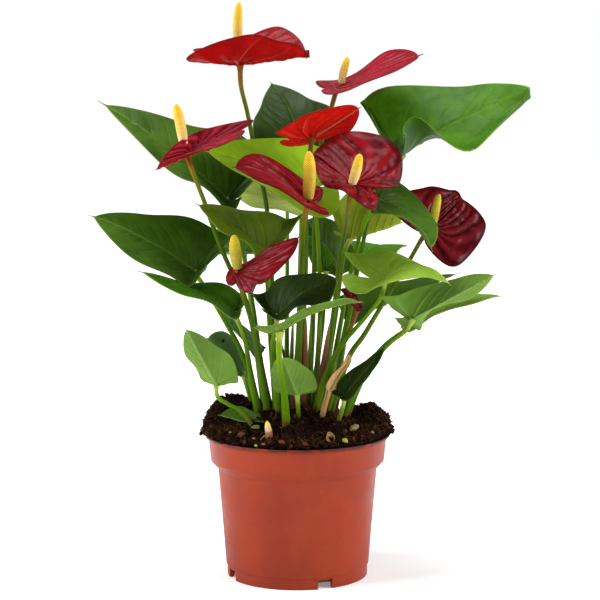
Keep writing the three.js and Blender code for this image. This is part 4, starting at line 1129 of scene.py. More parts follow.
def makeSpadixSkin(name, look):
    finish = spadixFinish
    material, tree, shader = newMaterial(name, finish["roughness"], finish["specular"])
    uneven = maths(tree, "MULTIPLY", mottle(tree, finish["unevenScale"], 2), finish["uneven"])
    spread = maths(tree, "ADD", attribute(tree, "along"), uneven)
    color = blend(tree, remap(tree, spread, *finish["middle"]), look["foot"], look["middle"])
    color = blend(tree, remap(tree, spread, *finish["top"]), color, look["top"])
    gaps = remap(tree, attribute(tree, "raised"), *finish["gaps"])
    color = blend(tree, gaps, color, look["gap"])
    coverWith(tree, shader, color, mottle(tree, finish["grain"], 2), **finish["bump"])
    shader.inputs["Subsurface Weight"].default_value = finish["inside"]
    shader.inputs["Subsurface Radius"].default_value = finish["insideRadius"]
    return material


spadixSkins = {name: makeSpadixSkin(name + "Spike", look) for name, look in spadixLooks.items()}


# A spike of small bumps in crossing spirals, rounded off at the top.
def spadixMesh(name, foot, top, girth, lean):
    shape = spadixShape
    long = np.linalg.norm(top - foot)
    spirals, samples, bumpLength = shape["around"], shape["samples"], shape["bumpLength"] * mm
    sides = spirals * samples
    even = np.linspace(0, 1, int(long / bumpLength) * samples + 1)
    crowded = np.sin(even ** shape["crowdPower"] * math.pi / 2 * shape["shortTurn"])
    t = (1 - shape["crowd"]) * even + shape["crowd"] * crowded
    t = t / t[-1] * shape["shortOfTop"]
    angles = np.arange(sides) * 2 * math.pi / sides
    swell = shape["foot"] + (1 - shape["foot"]) * np.sin(np.pi * np.minimum(t, 1) ** shape["fullest"])
    radius = girth / 2 * mm * swell * np.sqrt(1 - t ** shape["blunt"])
    radius = radius * np.minimum(1, shape["footStart"] + t / shape["footRise"])
    turns = 2 * math.pi * t * long / bumpLength
    a = (spirals * angles[None, :] + turns[:, None]) / 2
    b = (spirals * angles[None, :] - turns[:, None]) / 2
    raised = np.abs(np.sin(a) * np.sin(b)) ** shape["bumpPower"]
    axis = unit(top - foot)
    side = unit(np.cross(axis, lean))
    other = np.cross(axis, side)
    height = shape["height"] * mm * np.minimum(1, radius / (shape["thin"] * mm))
    bulge = radius[:, None] + (raised - shape["bumpZero"]) * height[:, None]
    bow = shape["bow"] * long * np.sin(np.pi * t)
    rows = (foot + axis * (t * long)[:, None] + other * bow[:, None])[:, None, :]
    out = np.cos(angles)[:, None] * side + np.sin(angles)[:, None] * other
    rows = rows + bulge[..., None] * out
    ends = [[foot - axis * shape["sunk"] * mm], [foot + axis * long]]
    points = np.vstack([rows.reshape(-1, 3), *ends])
    along = np.append(np.repeat(t, sides), [0, 1])
    values = {"along": along, "raised": np.append(raised.ravel(), [0, 1])}
    return newMesh(name, points, tubeFaces(len(t), sides), values)


def growFlower(name, written, seed):
    spec = settle(written, place, spatheShape)
    mesh = bladeMesh("spathe_" + name, spec, seed)
    adopt(bareObject("grown_spathe_" + name, mesh, bladeSkins[spec["look"]]), "spathe_" + name)
    mesh = stalkMesh("stalk_" + name, spec, stalkShape["flowerGirth"], stalkShape["flowerFlare"])
    adopt(bareObject("grown_stalk_" + name, mesh, [stalkSkins["flowerStalk"]]), "stalk_" + name)
    foot, top = spec["spadix"]
    foot = foot + unit(top - foot) * spec["lift"] * mm
    mesh = spadixMesh("spadix_" + name, foot, top, spec["girth"], unit(spec["tip"] - spec["base"]))
    adopt(bareObject("grown_spadix_" + name, mesh, [spadixSkins[spec["spike"]]]), "spadix_" + name)


for number, (name, written) in enumerate(flowerPlaces.items()):
    growFlower(name, written, number * seeds["flowerStep"] + seeds["flower"])
print("flowers grown:", len(flowerPlaces))

growLeaf("bud_withered", settle(budPlaces, place), seeds["bud"], "flowerStalk")
growLeaf("dry_sheath", settle(sheathPlaces, place), seeds["sheath"], "drySheath")
print("bud and sheath grown")


# Dry and green sheaths that stand between the stalks, each with the plant whose foot it wraps. wide:
# half the width at the foot, in mm.
sheathLooks = {
    "brown": {
        "foot": (0.05, 0.016, 0.008), "middle": (0.17, 0.070, 0.028), "top": (0.20, 0.16, 0.035),
    },
    "maroon": {
        "foot": (0.020, 0.004, 0.005), "middle": (0.050, 0.009, 0.010), "top": (0.10, 0.03, 0.012),
    },
    "tan": {"foot": (0.16, 0.07, 0.028), "middle": (0.34, 0.20, 0.075), "top": (0.40, 0.27, 0.10)},
    "green": {"foot": (0.05, 0.08, 0.010), "middle": (0.10, 0.17, 0.014), "top": (0.17, 0.26, 0.03)},
}
sheaths = [
    {"node": "stalk_big_dark", "look": "brown", "wide": 2.8,
     "root": [2, -8], "by": [304, 372, -20], "tip": [306, 318, -24]},
    {"node": "stalk_upper_right", "look": "brown", "wide": 2.5,
     "root": [12, -10], "by": [322, 376, -14], "tip": [330, 322, -18]},
    {"node": "stalk_left", "look": "maroon", "wide": 1.9,
     "root": [-12, -10], "by": [286, 372, -12], "tip": [282, 344, -16]},
    {"node": "stalk_low_left", "look": "maroon", "wide": 2.0,
     "root": [-4, -26], "by": [293, 408, -28], "tip": [292, 388, -28]},
    {"node": "stalk_right_dark", "look": "tan", "wide": 1.3,
     "root": [15, -27], "by": [322, 412, -30], "tip": [328, 386, -32]},
    {"node": "stalk_top", "look": "green", "wide": 1.9,
     "root": [6, -4], "by": [309, 380, -4], "tip": [311, 318, -4]},
    {"node": "stalk_upper_right", "look": "green", "wide": 1.9,
     "root": [10, -6], "by": [317, 374, -8], "tip": [321, 314, -8]},
    {"node": "stalk_red_behind", "look": "green", "wide": 1.6,
     "root": [16, -14], "by": [327, 396, -16], "tip": [338, 352, -18]},
    {"node": "stalk_dark_left", "look": "green", "wide": 1.9,
     "root": [-6, -10], "by": [291, 380, -10], "tip": [293, 316, -8]},
    {"node": "stalk_right_dark", "look": "maroon", "wide": 1.2,
     "root": [20, -22], "by": [337, 408, -24], "tip": [341, 388, -26]},
]
sheathShape = {"foot": 1.15, "thinner": 0.3, "blunt": 3, "least": 0.003, "flatten": 0.6}


def makeSheath(number, sheath):
    name = f"sheath_{number}"
    shape = sheathShape
    points = [rootPoint(sheath["root"]), place(sheath["by"]), place(sheath["tip"])]

    def radiusAt(w, whole):
        end = math.sqrt(max(shape["least"], 1 - (w / whole) ** shape["blunt"]))
        return sheath["wide"] * mm * (shape["foot"] - shape["thinner"] * w / whole) * end

    look = sheathLooks[sheath["look"]]
    skin = makeStalkSkin(name, {**stalkLooks["drySheath"], **look, "joint": look["top"]})
    sides, steps = stalkShape["sides"], stalkShape["steps"]
    mesh = barMesh(name, points, radiusAt, sides, steps, shape["flatten"])
    adopt(bareObject(name, mesh, [skin]), sheath["node"])


for number, sheath in enumerate(sheaths):
    makeSheath(number, sheath)
print("sheaths grown:", len(sheaths))


# In mm and degrees. warp: how far the thin plastic is from round towards the rim (above warpFrom, a
# share of the height), in waves of [number round, phase, share]; warpRise: the same, up and down.
potSizes = {
    "height": 93, "lipRadius": 60, "lipThickness": 1.2, "bandTopRadius": 57.9, "bandLowRadius": 56.4,
    "bandBottom": 76, "shoulderBottom": 70.6, "bodyTopRadius": 51.7, "bodyLowRadius": 46.6,
    "footRadius": 45.8, "footHeight": 7, "footWidth": 2.6, "wall": 1.6, "floorThickness": 1.8,
    "channelHeight": 3, "channelInner": 30, "channelSlope": 1, "mouthSlope": 0.3, "notchCount": 4,
    "notchWidth": 10, "notchHeight": 6, "notchTurn": 23, "drainRadius": 3, "drainCircle": 36.5,
    "drainSides": 32, "sides": 192, "edge": 0.35, "edgeAngle": 25, "edgeStep": 0.7, "flareHeight": 2.2,
    "smoothAngle": 28, "warp": 0.35, "warpFrom": 0.4, "warpRound": [[2, 0.6, 1], [3, 2, 0.6]],
    "warpRise": [[3, 1, 0.5]],
}
# dirtAndShade darkens the lip: partly soil dirt on it, partly painted shade where the lip is lit less.
potLook = {
    "deep": (0.205, 0.016, 0.0015), "light": (0.26, 0.025, 0.004), "dust": (0.32, 0.055, 0.018),
    "dirtAndShade": (0.04, 0.009, 0.004), "roughness": 0.42, "specular": 0.2,
    "patches": {"scale": 22, "detail": 4}, "squeeze": 0.12,
    "streaks": {"scale": 70, "detail": 4, "low": 0.5, "high": 0.75, "share": 0.12},
    "specks": {"scale": 420, "detail": 2, "low": 0.62, "high": 0.75, "share": 0.3},
    "dirtAndShadeFrom": 0.089, "dirtAndShadeTo": 0.0928, "dirtAndShadeScale": 120, "dirtAndShadePatches": [0.25, 0.55],
    "gloss": {"scale": 45, "less": 0.05, "more": 0.12}, "grain": 800,
    "bump": {"strength": 0.08, "distance": 0.0004},
}


def makePotSkin():
    look = potLook
    material, tree, shader = newMaterial("potPlastic", look["roughness"], look["specular"])
    color = patchy(tree, look["deep"], look["light"], **look["patches"])
    streaks, height = streaky(tree, look["squeeze"])
    color = patchy(tree, color, look["dust"], **look["streaks"], coordinates=streaks)
    color = patchy(tree, color, look["dust"], **look["specks"])
    # Darker near the lip: soil dirt, and painted shade where the lip is lit less.
    nearRim = remap(tree, height, look["dirtAndShadeFrom"], look["dirtAndShadeTo"])
    dirtAndShadeSmudges = remap(tree, mottle(tree, look["dirtAndShadeScale"], 4), *look["dirtAndShadePatches"])
    color = tint(tree, color, look["dirtAndShade"], nearRim, dirtAndShadeSmudges)
    unevenGloss(tree, shader, look["roughness"], **look["gloss"])
    coverWith(tree, shader, color, mottle(tree, look["grain"]), **look["bump"])
    return material


# One ring of the pot's wall, carried on from the ring before it.
def nextRing(radius, height, lastRadius, lastHeight):
    share = radius / lastRadius
    rise = (height - lastHeight) * mm
    bpy.ops.mesh.extrude_region_move(TRANSFORM_OT_translate={"value": (0, 0, rise)})
    bpy.ops.transform.resize(value=(share, share, 1), center_override=(0, 0, height * mm))


def cutOut(piece, cutter):
    bpy.ops.object.select_all(action="DESELECT")
    bpy.context.view_layer.objects.active = piece
    cut = piece.modifiers.new("cut", "BOOLEAN")
    cut.object = cutter
    cut.operation = "DIFFERENCE"
    cut.solver = "EXACT"
    bpy.ops.object.modifier_apply(modifier="cut")
    bpy.data.objects.remove(cutter)


def softenEdges(piece, width, segments, angle=30):
    soften = piece.modifiers.new("soften", "BEVEL")
    soften.width = width * mm
    soften.segments = segments
    soften.angle_limit = math.radians(angle)
    bpy.ops.object.modifier_apply(modifier="soften")


def shadeSmooth(piece, angle):
    piece.select_set(True)
    bpy.ops.object.shade_smooth_by_angle(angle=math.radians(angle))
    piece.select_set(False)


def potRings(p):
    foot, wall, step = p["footRadius"] - p["footWidth"], p["wall"], p["edgeStep"]
    flareBottom = p["height"] - p["flareHeight"]
    outer = [
        (p["channelInner"], 0), (p["channelInner"] + p["channelSlope"], p["channelHeight"]),
        (foot - p["channelSlope"], p["channelHeight"]), (foot, 0), (p["footRadius"], 0),
        (p["footRadius"], p["footHeight"]), (p["bodyLowRadius"], p["footHeight"] + step),
        (p["bodyTopRadius"], p["shoulderBottom"]), (p["bandLowRadius"] - step, p["bandBottom"] - step),
        (p["bandLowRadius"], p["bandBottom"]), (p["bandTopRadius"], flareBottom),
        (p["lipRadius"], p["height"] - p["lipThickness"]), (p["lipRadius"], p["height"]),
    ]
    inner = [
        (p["bandTopRadius"] - wall + p["mouthSlope"], p["height"] - step),
        (p["bandTopRadius"] - wall, flareBottom - step),
        (p["bandLowRadius"] - wall, p["bandBottom"] + step),
        (p["bodyTopRadius"] - wall, p["shoulderBottom"] + step),
        (p["bodyLowRadius"] - wall, p["footHeight"] + p["flareHeight"]),
        (p["bodyLowRadius"] - 2 * wall, p["channelHeight"] + p["floorThickness"]),
    ]
    return outer + inner


def wavesAt(waves, turn):
    return sum(share * math.sin(count * turn + phase) for count, phase, share in waves)


def makePot():
    p = potSizes
    floorTop = p["channelHeight"] + p["floorThickness"]
    rings = potRings(p)
    radius = rings[0][0] * mm
    bpy.ops.mesh.primitive_circle_add(vertices=p["sides"], radius=radius, fill_type="NGON")
    pot = bpy.context.object
    pot.name = "grown_pot"
    bpy.ops.object.mode_set(mode="EDIT")
    bpy.ops.mesh.select_mode(type="EDGE")
    bpy.ops.mesh.select_all(action="SELECT")
    bpy.ops.mesh.flip_normals()
    bpy.ops.mesh.region_to_loop()
    for (lastRadius, lastHeight), (radius, height) in zip(rings, rings[1:]):
        nextRing(radius, height, lastRadius, lastHeight)
    bpy.ops.mesh.edge_face_add()
    bpy.ops.mesh.select_all(action="SELECT")
    bpy.ops.mesh.normals_make_consistent(inside=False)
    bpy.ops.object.mode_set(mode="OBJECT")
    for i in range(p["notchCount"]):
        turn = math.radians(p["notchTurn"] + 360 * i / p["notchCount"])
        atFoot, atDrain = (
            (p[key] * mm * math.cos(turn), p[key] * mm * math.sin(turn), 0)
            for key in ("footRadius", "drainCircle")
        )
        bpy.ops.mesh.primitive_cube_add(size=1, location=atFoot, rotation=(0, 0, turn))
        notch = bpy.context.object
        notch.scale = (4 * p["footWidth"] * mm, p["notchWidth"] * mm, 2 * p["notchHeight"] * mm)
        bpy.ops.mesh.primitive_cylinder_add(vertices=p["drainSides"], radius=p["drainRadius"] * mm,
                                            depth=4 * floorTop * mm, location=atDrain)
        drain = bpy.context.object
        for cutter in (notch, drain):
            cutOut(pot, cutter)
    softenEdges(pot, p["edge"], 3, p["edgeAngle"])
    for vertex in pot.data.vertices:
        turn = math.atan2(vertex.co.y, vertex.co.x)
        high = max(0, vertex.co.z / (p["height"] * mm) - p["warpFrom"])
        push = p["warp"] * mm * high * wavesAt(p["warpRound"], turn)
        radius = math.hypot(vertex.co.x, vertex.co.y)
        vertex.co.x *= 1 + push / radius
        vertex.co.y *= 1 + push / radius
        vertex.co.z += p["warp"] * mm * high * wavesAt(p["warpRise"], turn)
    shadeSmooth(pot, p["smoothAngle"])
    pot.data.materials.append(makePotSkin())
    return adopt(pot, "pot")


pot = makePot()
print("pot made,", len(pot.data.polygons), "faces")


# In mm. wallHeights: the peat's own heights inside the pot, from the bottom up; crowd draws its rings
# together towards the rim. lumps, grains and spillLumps: [how fine, how high].
soilSizes = {
    "edge": 91, "mound": 19, "fall": 1.5, "crumble": 1.2, "crumbleWave": 0.3, "crumbleEdge": 3,
    "clearance": 0.6, "rings": 60, "crowd": 0.8, "sides": 150,
    "wallHeights": [5.1, 9.5, 71.6, 77, 88.5],
    "lumps": [0.16, 2.1], "lumpFractal": (0.6, 2.1, 4), "grains": [0.9, 1.2], "calmAtWall": [14, 0.15],
    "underLip": 0.2, "overLip": 0.4, "fringe": [9, 0.35], "spillLumps": [0.6, 1.2],
}
heaps = [
    {"height": 15, "right": -42, "back": 22, "across": 20, "deep": 22},
    {"height": 10, "right": 46, "back": 20, "across": 15, "deep": 20},
    {"height": 9, "right": 2, "back": -26, "across": 34, "deep": 10},
    {"height": 8, "right": -4, "back": -41, "across": 10, "deep": 8},
    {"height": 5, "right": -31, "back": -32, "across": 8, "deep": 8},
    {"height": 6, "right": 23, "back": -33, "across": 6, "deep": 5},
]
# The peat is piled up against the lip at the left and the right, and spills over it there.
piles = [
    {"height": 9, "turn": 183, "spread": 32}, {"height": 8, "turn": 2, "spread": 28},
    {"height": 1, "turn": 270, "spread": 60}, {"height": 4, "turn": 90, "spread": 50},
]
spill = {"from": 48, "calm": 97, "full": 104, "reach": 6.5, "pileFrom": 33, "pileTo": 50}
mouthRadius = potSizes["bandTopRadius"] - potSizes["wall"]
soilRadius = mouthRadius - 2 * soilSizes["clearance"]


def soilHeight(x, y):
    r = math.hypot(x, y) / mouthRadius
    height = soilSizes["edge"] + soilSizes["mound"] * (1 - min(1, r) ** 2) ** soilSizes["fall"]
    for heap in heaps:
        away = ((x - heap["right"]) / heap["across"]) ** 2 + ((y - heap["back"]) / heap["deep"]) ** 2
        height += heap["height"] * math.exp(-away)
    fade = min(1, max(0, soilSizes["crumbleEdge"] * (1 - r)))
    fine = soilSizes["crumbleWave"]
    return height + soilSizes["crumble"] * math.sin(x * fine + 1) * math.cos(y * fine) * fade


def rawHeight(x, y):
    steep, least = soilSizes["calmAtWall"]
    fade = min(1, steep * max(0, 1 - math.hypot(x, y) / soilRadius) + least)
    fine, high = soilSizes["lumps"]
    lumps = noise.fractal(Vector((x * fine, y * fine, 3)), *soilSizes["lumpFractal"]) * high
    fine, high = soilSizes["grains"]
    grains = noise.noise(Vector((x * fine, y * fine, 7))) * high
    return soilHeight(x, y) + (lumps + grains) * fade


def pileHeight(turn):
    height = 0
    for pile in piles:
        away = (math.degrees(turn) - pile["turn"] + 180) % 360 - 180
        height += pile["height"] * math.exp(-(away / pile["spread"]) ** 2)
    return height


def piledHeight(x, y):
    share = smooth(math.hypot(x, y), spill["pileFrom"], spill["pileTo"])
    return rawHeight(x, y) + pileHeight(math.atan2(y, x)) * share


# How far out the peat reaches in a direction, and its height where it starts to fall off.
def soilReach(turn):
    x, y = math.cos(turn), math.sin(turn)
    shoulder = piledHeight(spill["from"] * x, spill["from"] * y)
    over = max(0, min(1, (shoulder - spill["calm"]) / (spill["full"] - spill["calm"])))
    fine, high = soilSizes["fringe"]
    ragged = 1 + high * noise.noise(Vector((x * fine, y * fine, 3)))
    return soilRadius + spill["reach"] * over * ragged, shoulder


def lumpyHeight(x, y):
    away, turn = math.hypot(x, y), math.atan2(y, x)
    if away <= spill["from"]:
        return piledHeight(x, y)
    reach, shoulder = soilReach(turn)
    share = min(1, (away - spill["from"]) / (reach - spill["from"]))
    lip = potSizes["height"] + soilSizes["overLip"]
    fine, high = soilSizes["spillLumps"]
    rough = high * noise.noise(Vector((x, y, 5)) * fine) * (1 - share)
    return lip + (shoulder - lip) * math.sqrt(1 - share ** 2) + rough


peatLook = {
    "deep": (0.002, 0.001, 0.0006), "light": (0.011, 0.0042, 0.002), "red": (0.034, 0.010, 0.0035),
    "patches": {"scale": 260, "detail": 5, "low": 0.35, "high": 0.68},
    "redPatches": {"scale": 780, "low": 0.58, "high": 0.75, "share": 0.7}, "grain": 650,
    "roughness": 0.92, "specular": 0.04, "bump": {"strength": 0.7, "distance": 0.0012},
}


def makePeatSkin(look):
    material, tree, shader = newMaterial("peat", look["roughness"], look["specular"])
    color = patchy(tree, look["deep"], look["light"], **look["patches"])
    color = patchy(tree, color, look["red"], **look["redPatches"])
    coverWith(tree, shader, color, mottle(tree, look["grain"], 5), **look["bump"])
    return material


# Rings from the bottom up the pot's wall to the lip, and then inwards over the heap.
def makeSoil():
    p, gap, sides, rings = potSizes, soilSizes["clearance"], soilSizes["sides"], soilSizes["rings"]
    radii = [
        p["bodyLowRadius"] - 2 * p["wall"], p["bodyLowRadius"] - p["wall"],
        p["bodyTopRadius"] - p["wall"], p["bandLowRadius"] - p["wall"], mouthRadius,
    ]
    wall = [(radius - gap, height) for radius, height in zip(radii, soilSizes["wallHeights"])]
    bottom = wall[0][1]
    wall.append((soilRadius, p["height"] + soilSizes["underLip"]))
    angles = [2 * math.pi * i / sides for i in range(sides)]
    points = [(0, 0, bottom)]
    for radius, height in wall:
        points.extend((radius * math.cos(a), radius * math.sin(a), height) for a in angles)
    reaches = [soilReach(a)[0] for a in angles]
    for k in range(rings):
        share = math.cos(math.pi / 2 * k / rings) ** soilSizes["crowd"]
        for a, reach in zip(angles, reaches):
            x, y = share * reach * math.cos(a), share * reach * math.sin(a)
            points.append((x, y, lumpyHeight(x, y)))
    points.append((0, 0, lumpyHeight(0, 0)))
    faces = []
    last = 1 + (len(wall) + rings - 1) * sides
    for i in range(sides):
        j = (i + 1) % sides
        faces.append((0, 1 + j, 1 + i))
        for low in range(1, last, sides):
            high = low + sides
            faces.append((low + i, low + j, high + j, high + i))
        faces.append((len(points) - 1, last + i, last + j))
    mesh = newMesh("soil", np.array(points) * mm, faces)
    adopt(bareObject("grown_soil", mesh, [makePeatSkin(peatLook)]), "soil")


# Many copies of one small shape in one mesh, each with a tone of its own.
def scatter(name, model, matrices, materials, tones):
    count = len(model.vertices)
    points = np.empty(count * 3)
    model.vertices.foreach_get("co", points)
    points = np.column_stack([points.reshape(-1, 3), np.ones(count)])
    faces = [list(p.vertices) for p in model.polygons]
    allPoints = np.vstack([(points @ np.array(m).T)[:, :3] for m in matrices])
    allFaces = [[i + k * count for i in face] for k in range(len(matrices)) for face in faces]
    mesh = newMesh(name, allPoints, allFaces, {"tone": np.repeat(tones, count)})
    return bareObject(name, mesh, materials)


def turned(spot, direction, spin, size):
    rotation = direction.to_track_quat("Z", "Y").to_matrix() @ Matrix.Rotation(spin, 3, "Z")
    scale = Matrix.Diagonal(Vector(size))
    return Matrix.Translation(spot) @ (rotation @ scale).to_4x4()


# Sizes in mm. edgeCount of the crumbs, and rimCount of the fibres, lie near the rim. Pairs are the
# least and the most of a share drawn for each.
crumbs = {
    "deep": (0.004, 0.0018, 0.001), "light": (0.026, 0.0095, 0.004), "tan": (0.10, 0.038, 0.013),
    "seed": 4, "count": 1500, "size": [0.5, 2.3], "smaller": [0.5, 1], "edgeCount": 900, "edge": [0.9, 1.015],
    "raised": [-0.1, 0.45], "width": [0.5, 0.9], "height": [0.5, 1.2], "kept": 0.5,
    "lumps": [1.7, 0.45],
}
fibres = {
    "deep": (0.020, 0.007, 0.003), "light": (0.12, 0.042, 0.014), "tan": (0.30, 0.17, 0.07),
    "seed": 9, "count": 3000, "long": [3, 11], "shorter": [0.4, 1], "thick": 0.11, "thicker": [0.6, 1.5],
    "rimCount": 1200, "rim": [0.86, 1.0], "inner": 0.97, "raised": 0.1, "upright": [0.0, 0.75],
    "rimOut": 0.6, "rimLean": [-0.8, 0.8], "rimUpright": [-0.25, 0.6], "bends": [0.18, 0.4, -0.3],
    "sway": 0.4, "spin": [0, 6], "modelRadius": 0.012, "taper": 1.15, "sides": 4,
}
crumbFinish = {
    "roughness": 0.9, "specular": 0.04, "tanFrom": 0.85,
    "dark": {"scale": 700, "low": 0.35, "share": 0.6}, "grain": 900,
    "bump": {"strength": 0.6, "distance": 0.0008},
}


def makeCrumbSkin(name, look):
    finish = crumbFinish
    material, tree, shader = newMaterial(name, finish["roughness"], finish["specular"])
    tone = attribute(tree, "tone")
    lighter = remap(tree, tone, 0, finish["tanFrom"], smooth=False)
    color = blend(tree, lighter, look["deep"], look["light"])
    color = blend(tree, remap(tree, tone, finish["tanFrom"], 1, smooth=False), color, look["tan"])
    color = patchy(tree, color, look["deep"], **finish["dark"])
    coverWith(tree, shader, color, mottle(tree, finish["grain"]), **finish["bump"])
    return material


# A crumb of peat: a small lumpy stone shape of a few dozen faces.
def crumbModel():
    bpy.ops.mesh.primitive_ico_sphere_add(subdivisions=2, radius=1)
    crumb = bpy.context.object
    thin = crumb.modifiers.new("thin", "DECIMATE")
    thin.ratio = crumbs["kept"]
    bpy.ops.object.modifier_apply(modifier="thin")
    fine, high = crumbs["lumps"]
    for vertex in crumb.data.vertices:
        vertex.co *= 1 + high * noise.noise(vertex.co * fine)
    model = crumb.data.copy()
    bpy.data.objects.remove(crumb)
    return model


# A fibre: a thin bent strand, 1 long along z.
def fibreModel(bend):
    steps = (0, 0.25, 0.5, 0.75, 1)
    sway = fibres["sway"] * bend
    curve = [(bend * math.sin(math.pi * t / 2) * t, sway * math.sin(3 * t), t) for t in steps]

    def radiusAt(w, whole):
        return fibres["modelRadius"] * (fibres["taper"] - w / whole)

    return barMesh("fibre", curve, radiusAt, fibres["sides"], 1)


def scatterCrumbs():
    rng = random.Random(crumbs["seed"])
    matrices, tones = [], []
    for k in range(crumbs["count"] + crumbs["edgeCount"]):
        turn = rng.uniform(0, 2 * math.pi)
        reach = soilReach(turn)[0]
        atEdge = k >= crumbs["count"]
        away = reach * (rng.uniform(*crumbs["edge"]) if atEdge else math.sqrt(rng.random()))
        x, y = away * math.cos(turn), away * math.sin(turn)
        size = rng.uniform(*crumbs["size"]) * rng.uniform(*crumbs["smaller"]) * mm
        spot = Vector((x, y, lumpyHeight(x, y))) * mm
        spot.z += size * rng.uniform(*crumbs["raised"])
        lean = Vector((rng.uniform(-1, 1), rng.uniform(-1, 1), rng.uniform(-1, 1)))
        sizes = (size, size * rng.uniform(*crumbs["width"]), size * rng.uniform(*crumbs["height"]))
        matrices.append(turned(spot, lean, 0, sizes))
        tones.append(rng.random())
    return scatter("crumbs", crumbModel(), matrices, [makeCrumbSkin("crumb", crumbs)], tones)


def scatterFibres():
    rng = random.Random(fibres["seed"])
    skin = makeCrumbSkin("fibre", fibres)
    made = []
    for bend in fibres["bends"]:
        matrices, tones = [], []
        for k in range(fibres["count"] // 3):
            turn = rng.uniform(0, 2 * math.pi)
            nearRim = k < fibres["rimCount"] // 3
            if nearRim:
                share = rng.uniform(*fibres["rim"])
            else:
                share = math.sqrt(rng.random()) * fibres["inner"]
            away = share * soilReach(turn)[0]
            x, y = away * math.cos(turn), away * math.sin(turn)
            spot = Vector((x, y, lumpyHeight(x, y) + fibres["raised"])) * mm
            lean = Vector((rng.uniform(-1, 1), rng.uniform(-1, 1), rng.uniform(*fibres["upright"])))
            if nearRim:  # these lean out over the lip instead
                out = fibres["rimOut"]
                sideways, rise = rng.uniform(*fibres["rimLean"]), rng.uniform(*fibres["rimUpright"])
                lean = Vector((math.cos(turn) * out + sideways, math.sin(turn) * out, rise))
            long = rng.uniform(*fibres["long"]) * rng.uniform(*fibres["shorter"]) * mm
            thick = fibres["thick"] / fibres["modelRadius"] * mm * rng.uniform(*fibres["thicker"])
            matrices.append(turned(spot, lean, rng.uniform(*fibres["spin"]), (thick, thick, long)))
            tones.append(rng.random())
        made.append(scatter("fibres", fibreModel(bend), matrices, [skin], tones))
    return joined(*made)


makeSoil()
adopt(scatterCrumbs(), "soil")
adopt(scatterFibres(), "soil")
print("peat filled")


# The cut stem: sizes in mm. slant: how fast its top falls away on each side; dark: how much darker the bore's
# skin is, a painted shade inside the hole.
stub = {
    "root": [21, -42], "top": [331, 437, -43], "radius": 2.6, "bore": 1.7, "boreDepth": 7, "edge": 0.3,
    "slant": (0.45, -0.75, 0), "topLength": 3, "ragged": [400, 0.7], "sides": 28, "boreSides": 20,
    "inside": 0.75, "flat": 0.7, "smoothAngle": 40, "dark": 0.25, "light": (0.62, 0.40, 0.17),
    "tan": (0.42, 0.20, 0.07), "brown": (0.16, 0.06, 0.02), "roughness": 0.7, "specular": 0.2,
    "patches": {"scale": 300, "detail": 4},
    "brownPatches": {"scale": 120, "low": 0.5, "share": 0.7}, "grain": 600,
    "bump": {"strength": 0.5, "distance": 0.0006},
}


def makeStubSkin(name, tone):
    material, tree, shader = newMaterial(name, stub["roughness"], stub["specular"])
    light, tan, brown = (shaded(stub[key], tone) for key in ("light", "tan", "brown"))
    color = patchy(tree, tan, light, **stub["patches"])
    color = patchy(tree, color, brown, **stub["brownPatches"])
    coverWith(tree, shader, color, mottle(tree, stub["grain"], 4), **stub["bump"])
    return material


def makeStub():
    foot, top = Vector(rootPoint(stub["root"])), Vector(place(stub["top"]))
    lean = (top - foot).to_track_quat("Z", "Y").to_euler()
    radius, bore = stub["radius"] * mm, stub["bore"] * mm
    bpy.ops.mesh.primitive_cylinder_add(vertices=stub["sides"], radius=radius, depth=(top - foot).length,
                                        location=(foot + top) / 2, rotation=lean)
    piece = bpy.context.object
    piece.name = "grown_stem_stub"
    bpy.ops.object.transform_apply(location=True, rotation=True, scale=True)
    bpy.ops.mesh.primitive_cylinder_add(vertices=stub["boreSides"], radius=bore, location=top,
                                        depth=2 * stub["boreDepth"] * mm, rotation=lean)
    cutOut(piece, bpy.context.object)
    softenEdges(piece, stub["edge"], 2)
    slant = Vector(stub["slant"])
    fine, high = stub["ragged"]
    for vertex in piece.data.vertices:
        if vertex.co.z > top.z - stub["topLength"] * mm:
            ragged = noise.noise(vertex.co * fine) * high * mm
            vertex.co.z += ragged - (vertex.co - top).dot(slant)
    for face in piece.data.polygons:
        reach = (face.center - top).to_2d().length
        isWall = abs(face.normal.z) < stub["flat"]
        face.material_index = int(reach < radius * stub["inside"] and isWall)
    shadeSmooth(piece, stub["smoothAngle"])
    # The bore gets a darker copy of the stub's skin: painted shade inside the hole.
    for name, tone in (("stub", 1), ("bore", stub["dark"])):
        piece.data.materials.append(makeStubSkin(name, tone))
    adopt(piece, "stem_stub")


# A pale root tip pokes out of the peat: its skin goes from brown to pale to yellow along it.
rootTip = {
    "root": [-20, -46], "top": [267, 421, -46], "radius": 2.4, "bend": 0.6, "bendAt": 0.4, "blunt": 6,
    "least": 0.02, "sides": 20, "steps": 14, "brown": (0.30, 0.13, 0.05), "pale": (0.66, 0.45, 0.27),
    "yellow": (0.70, 0.55, 0.02), "dark": (0.20, 0.08, 0.03), "paleAt": [0.70, 0.80],
    "yellowAt": [0.86, 0.95], "darkPatches": {"scale": 500, "low": 0.5, "share": 0.5}, "grain": 700,
    "roughness": 0.45, "specular": 0.45, "bump": {"strength": 0.3, "distance": 0.0005},
}


def makeRootSkin():
    look = rootTip
    material, tree, shader = newMaterial("rootTip", look["roughness"], look["specular"])
    along = attribute(tree, "along")
    color = blend(tree, remap(tree, along, *look["paleAt"]), look["brown"], look["pale"])
    color = blend(tree, remap(tree, along, *look["yellowAt"]), color, look["yellow"])
    color = patchy(tree, color, look["dark"], **look["darkPatches"])
    coverWith(tree, shader, color, mottle(tree, look["grain"]), **look["bump"])
    return material


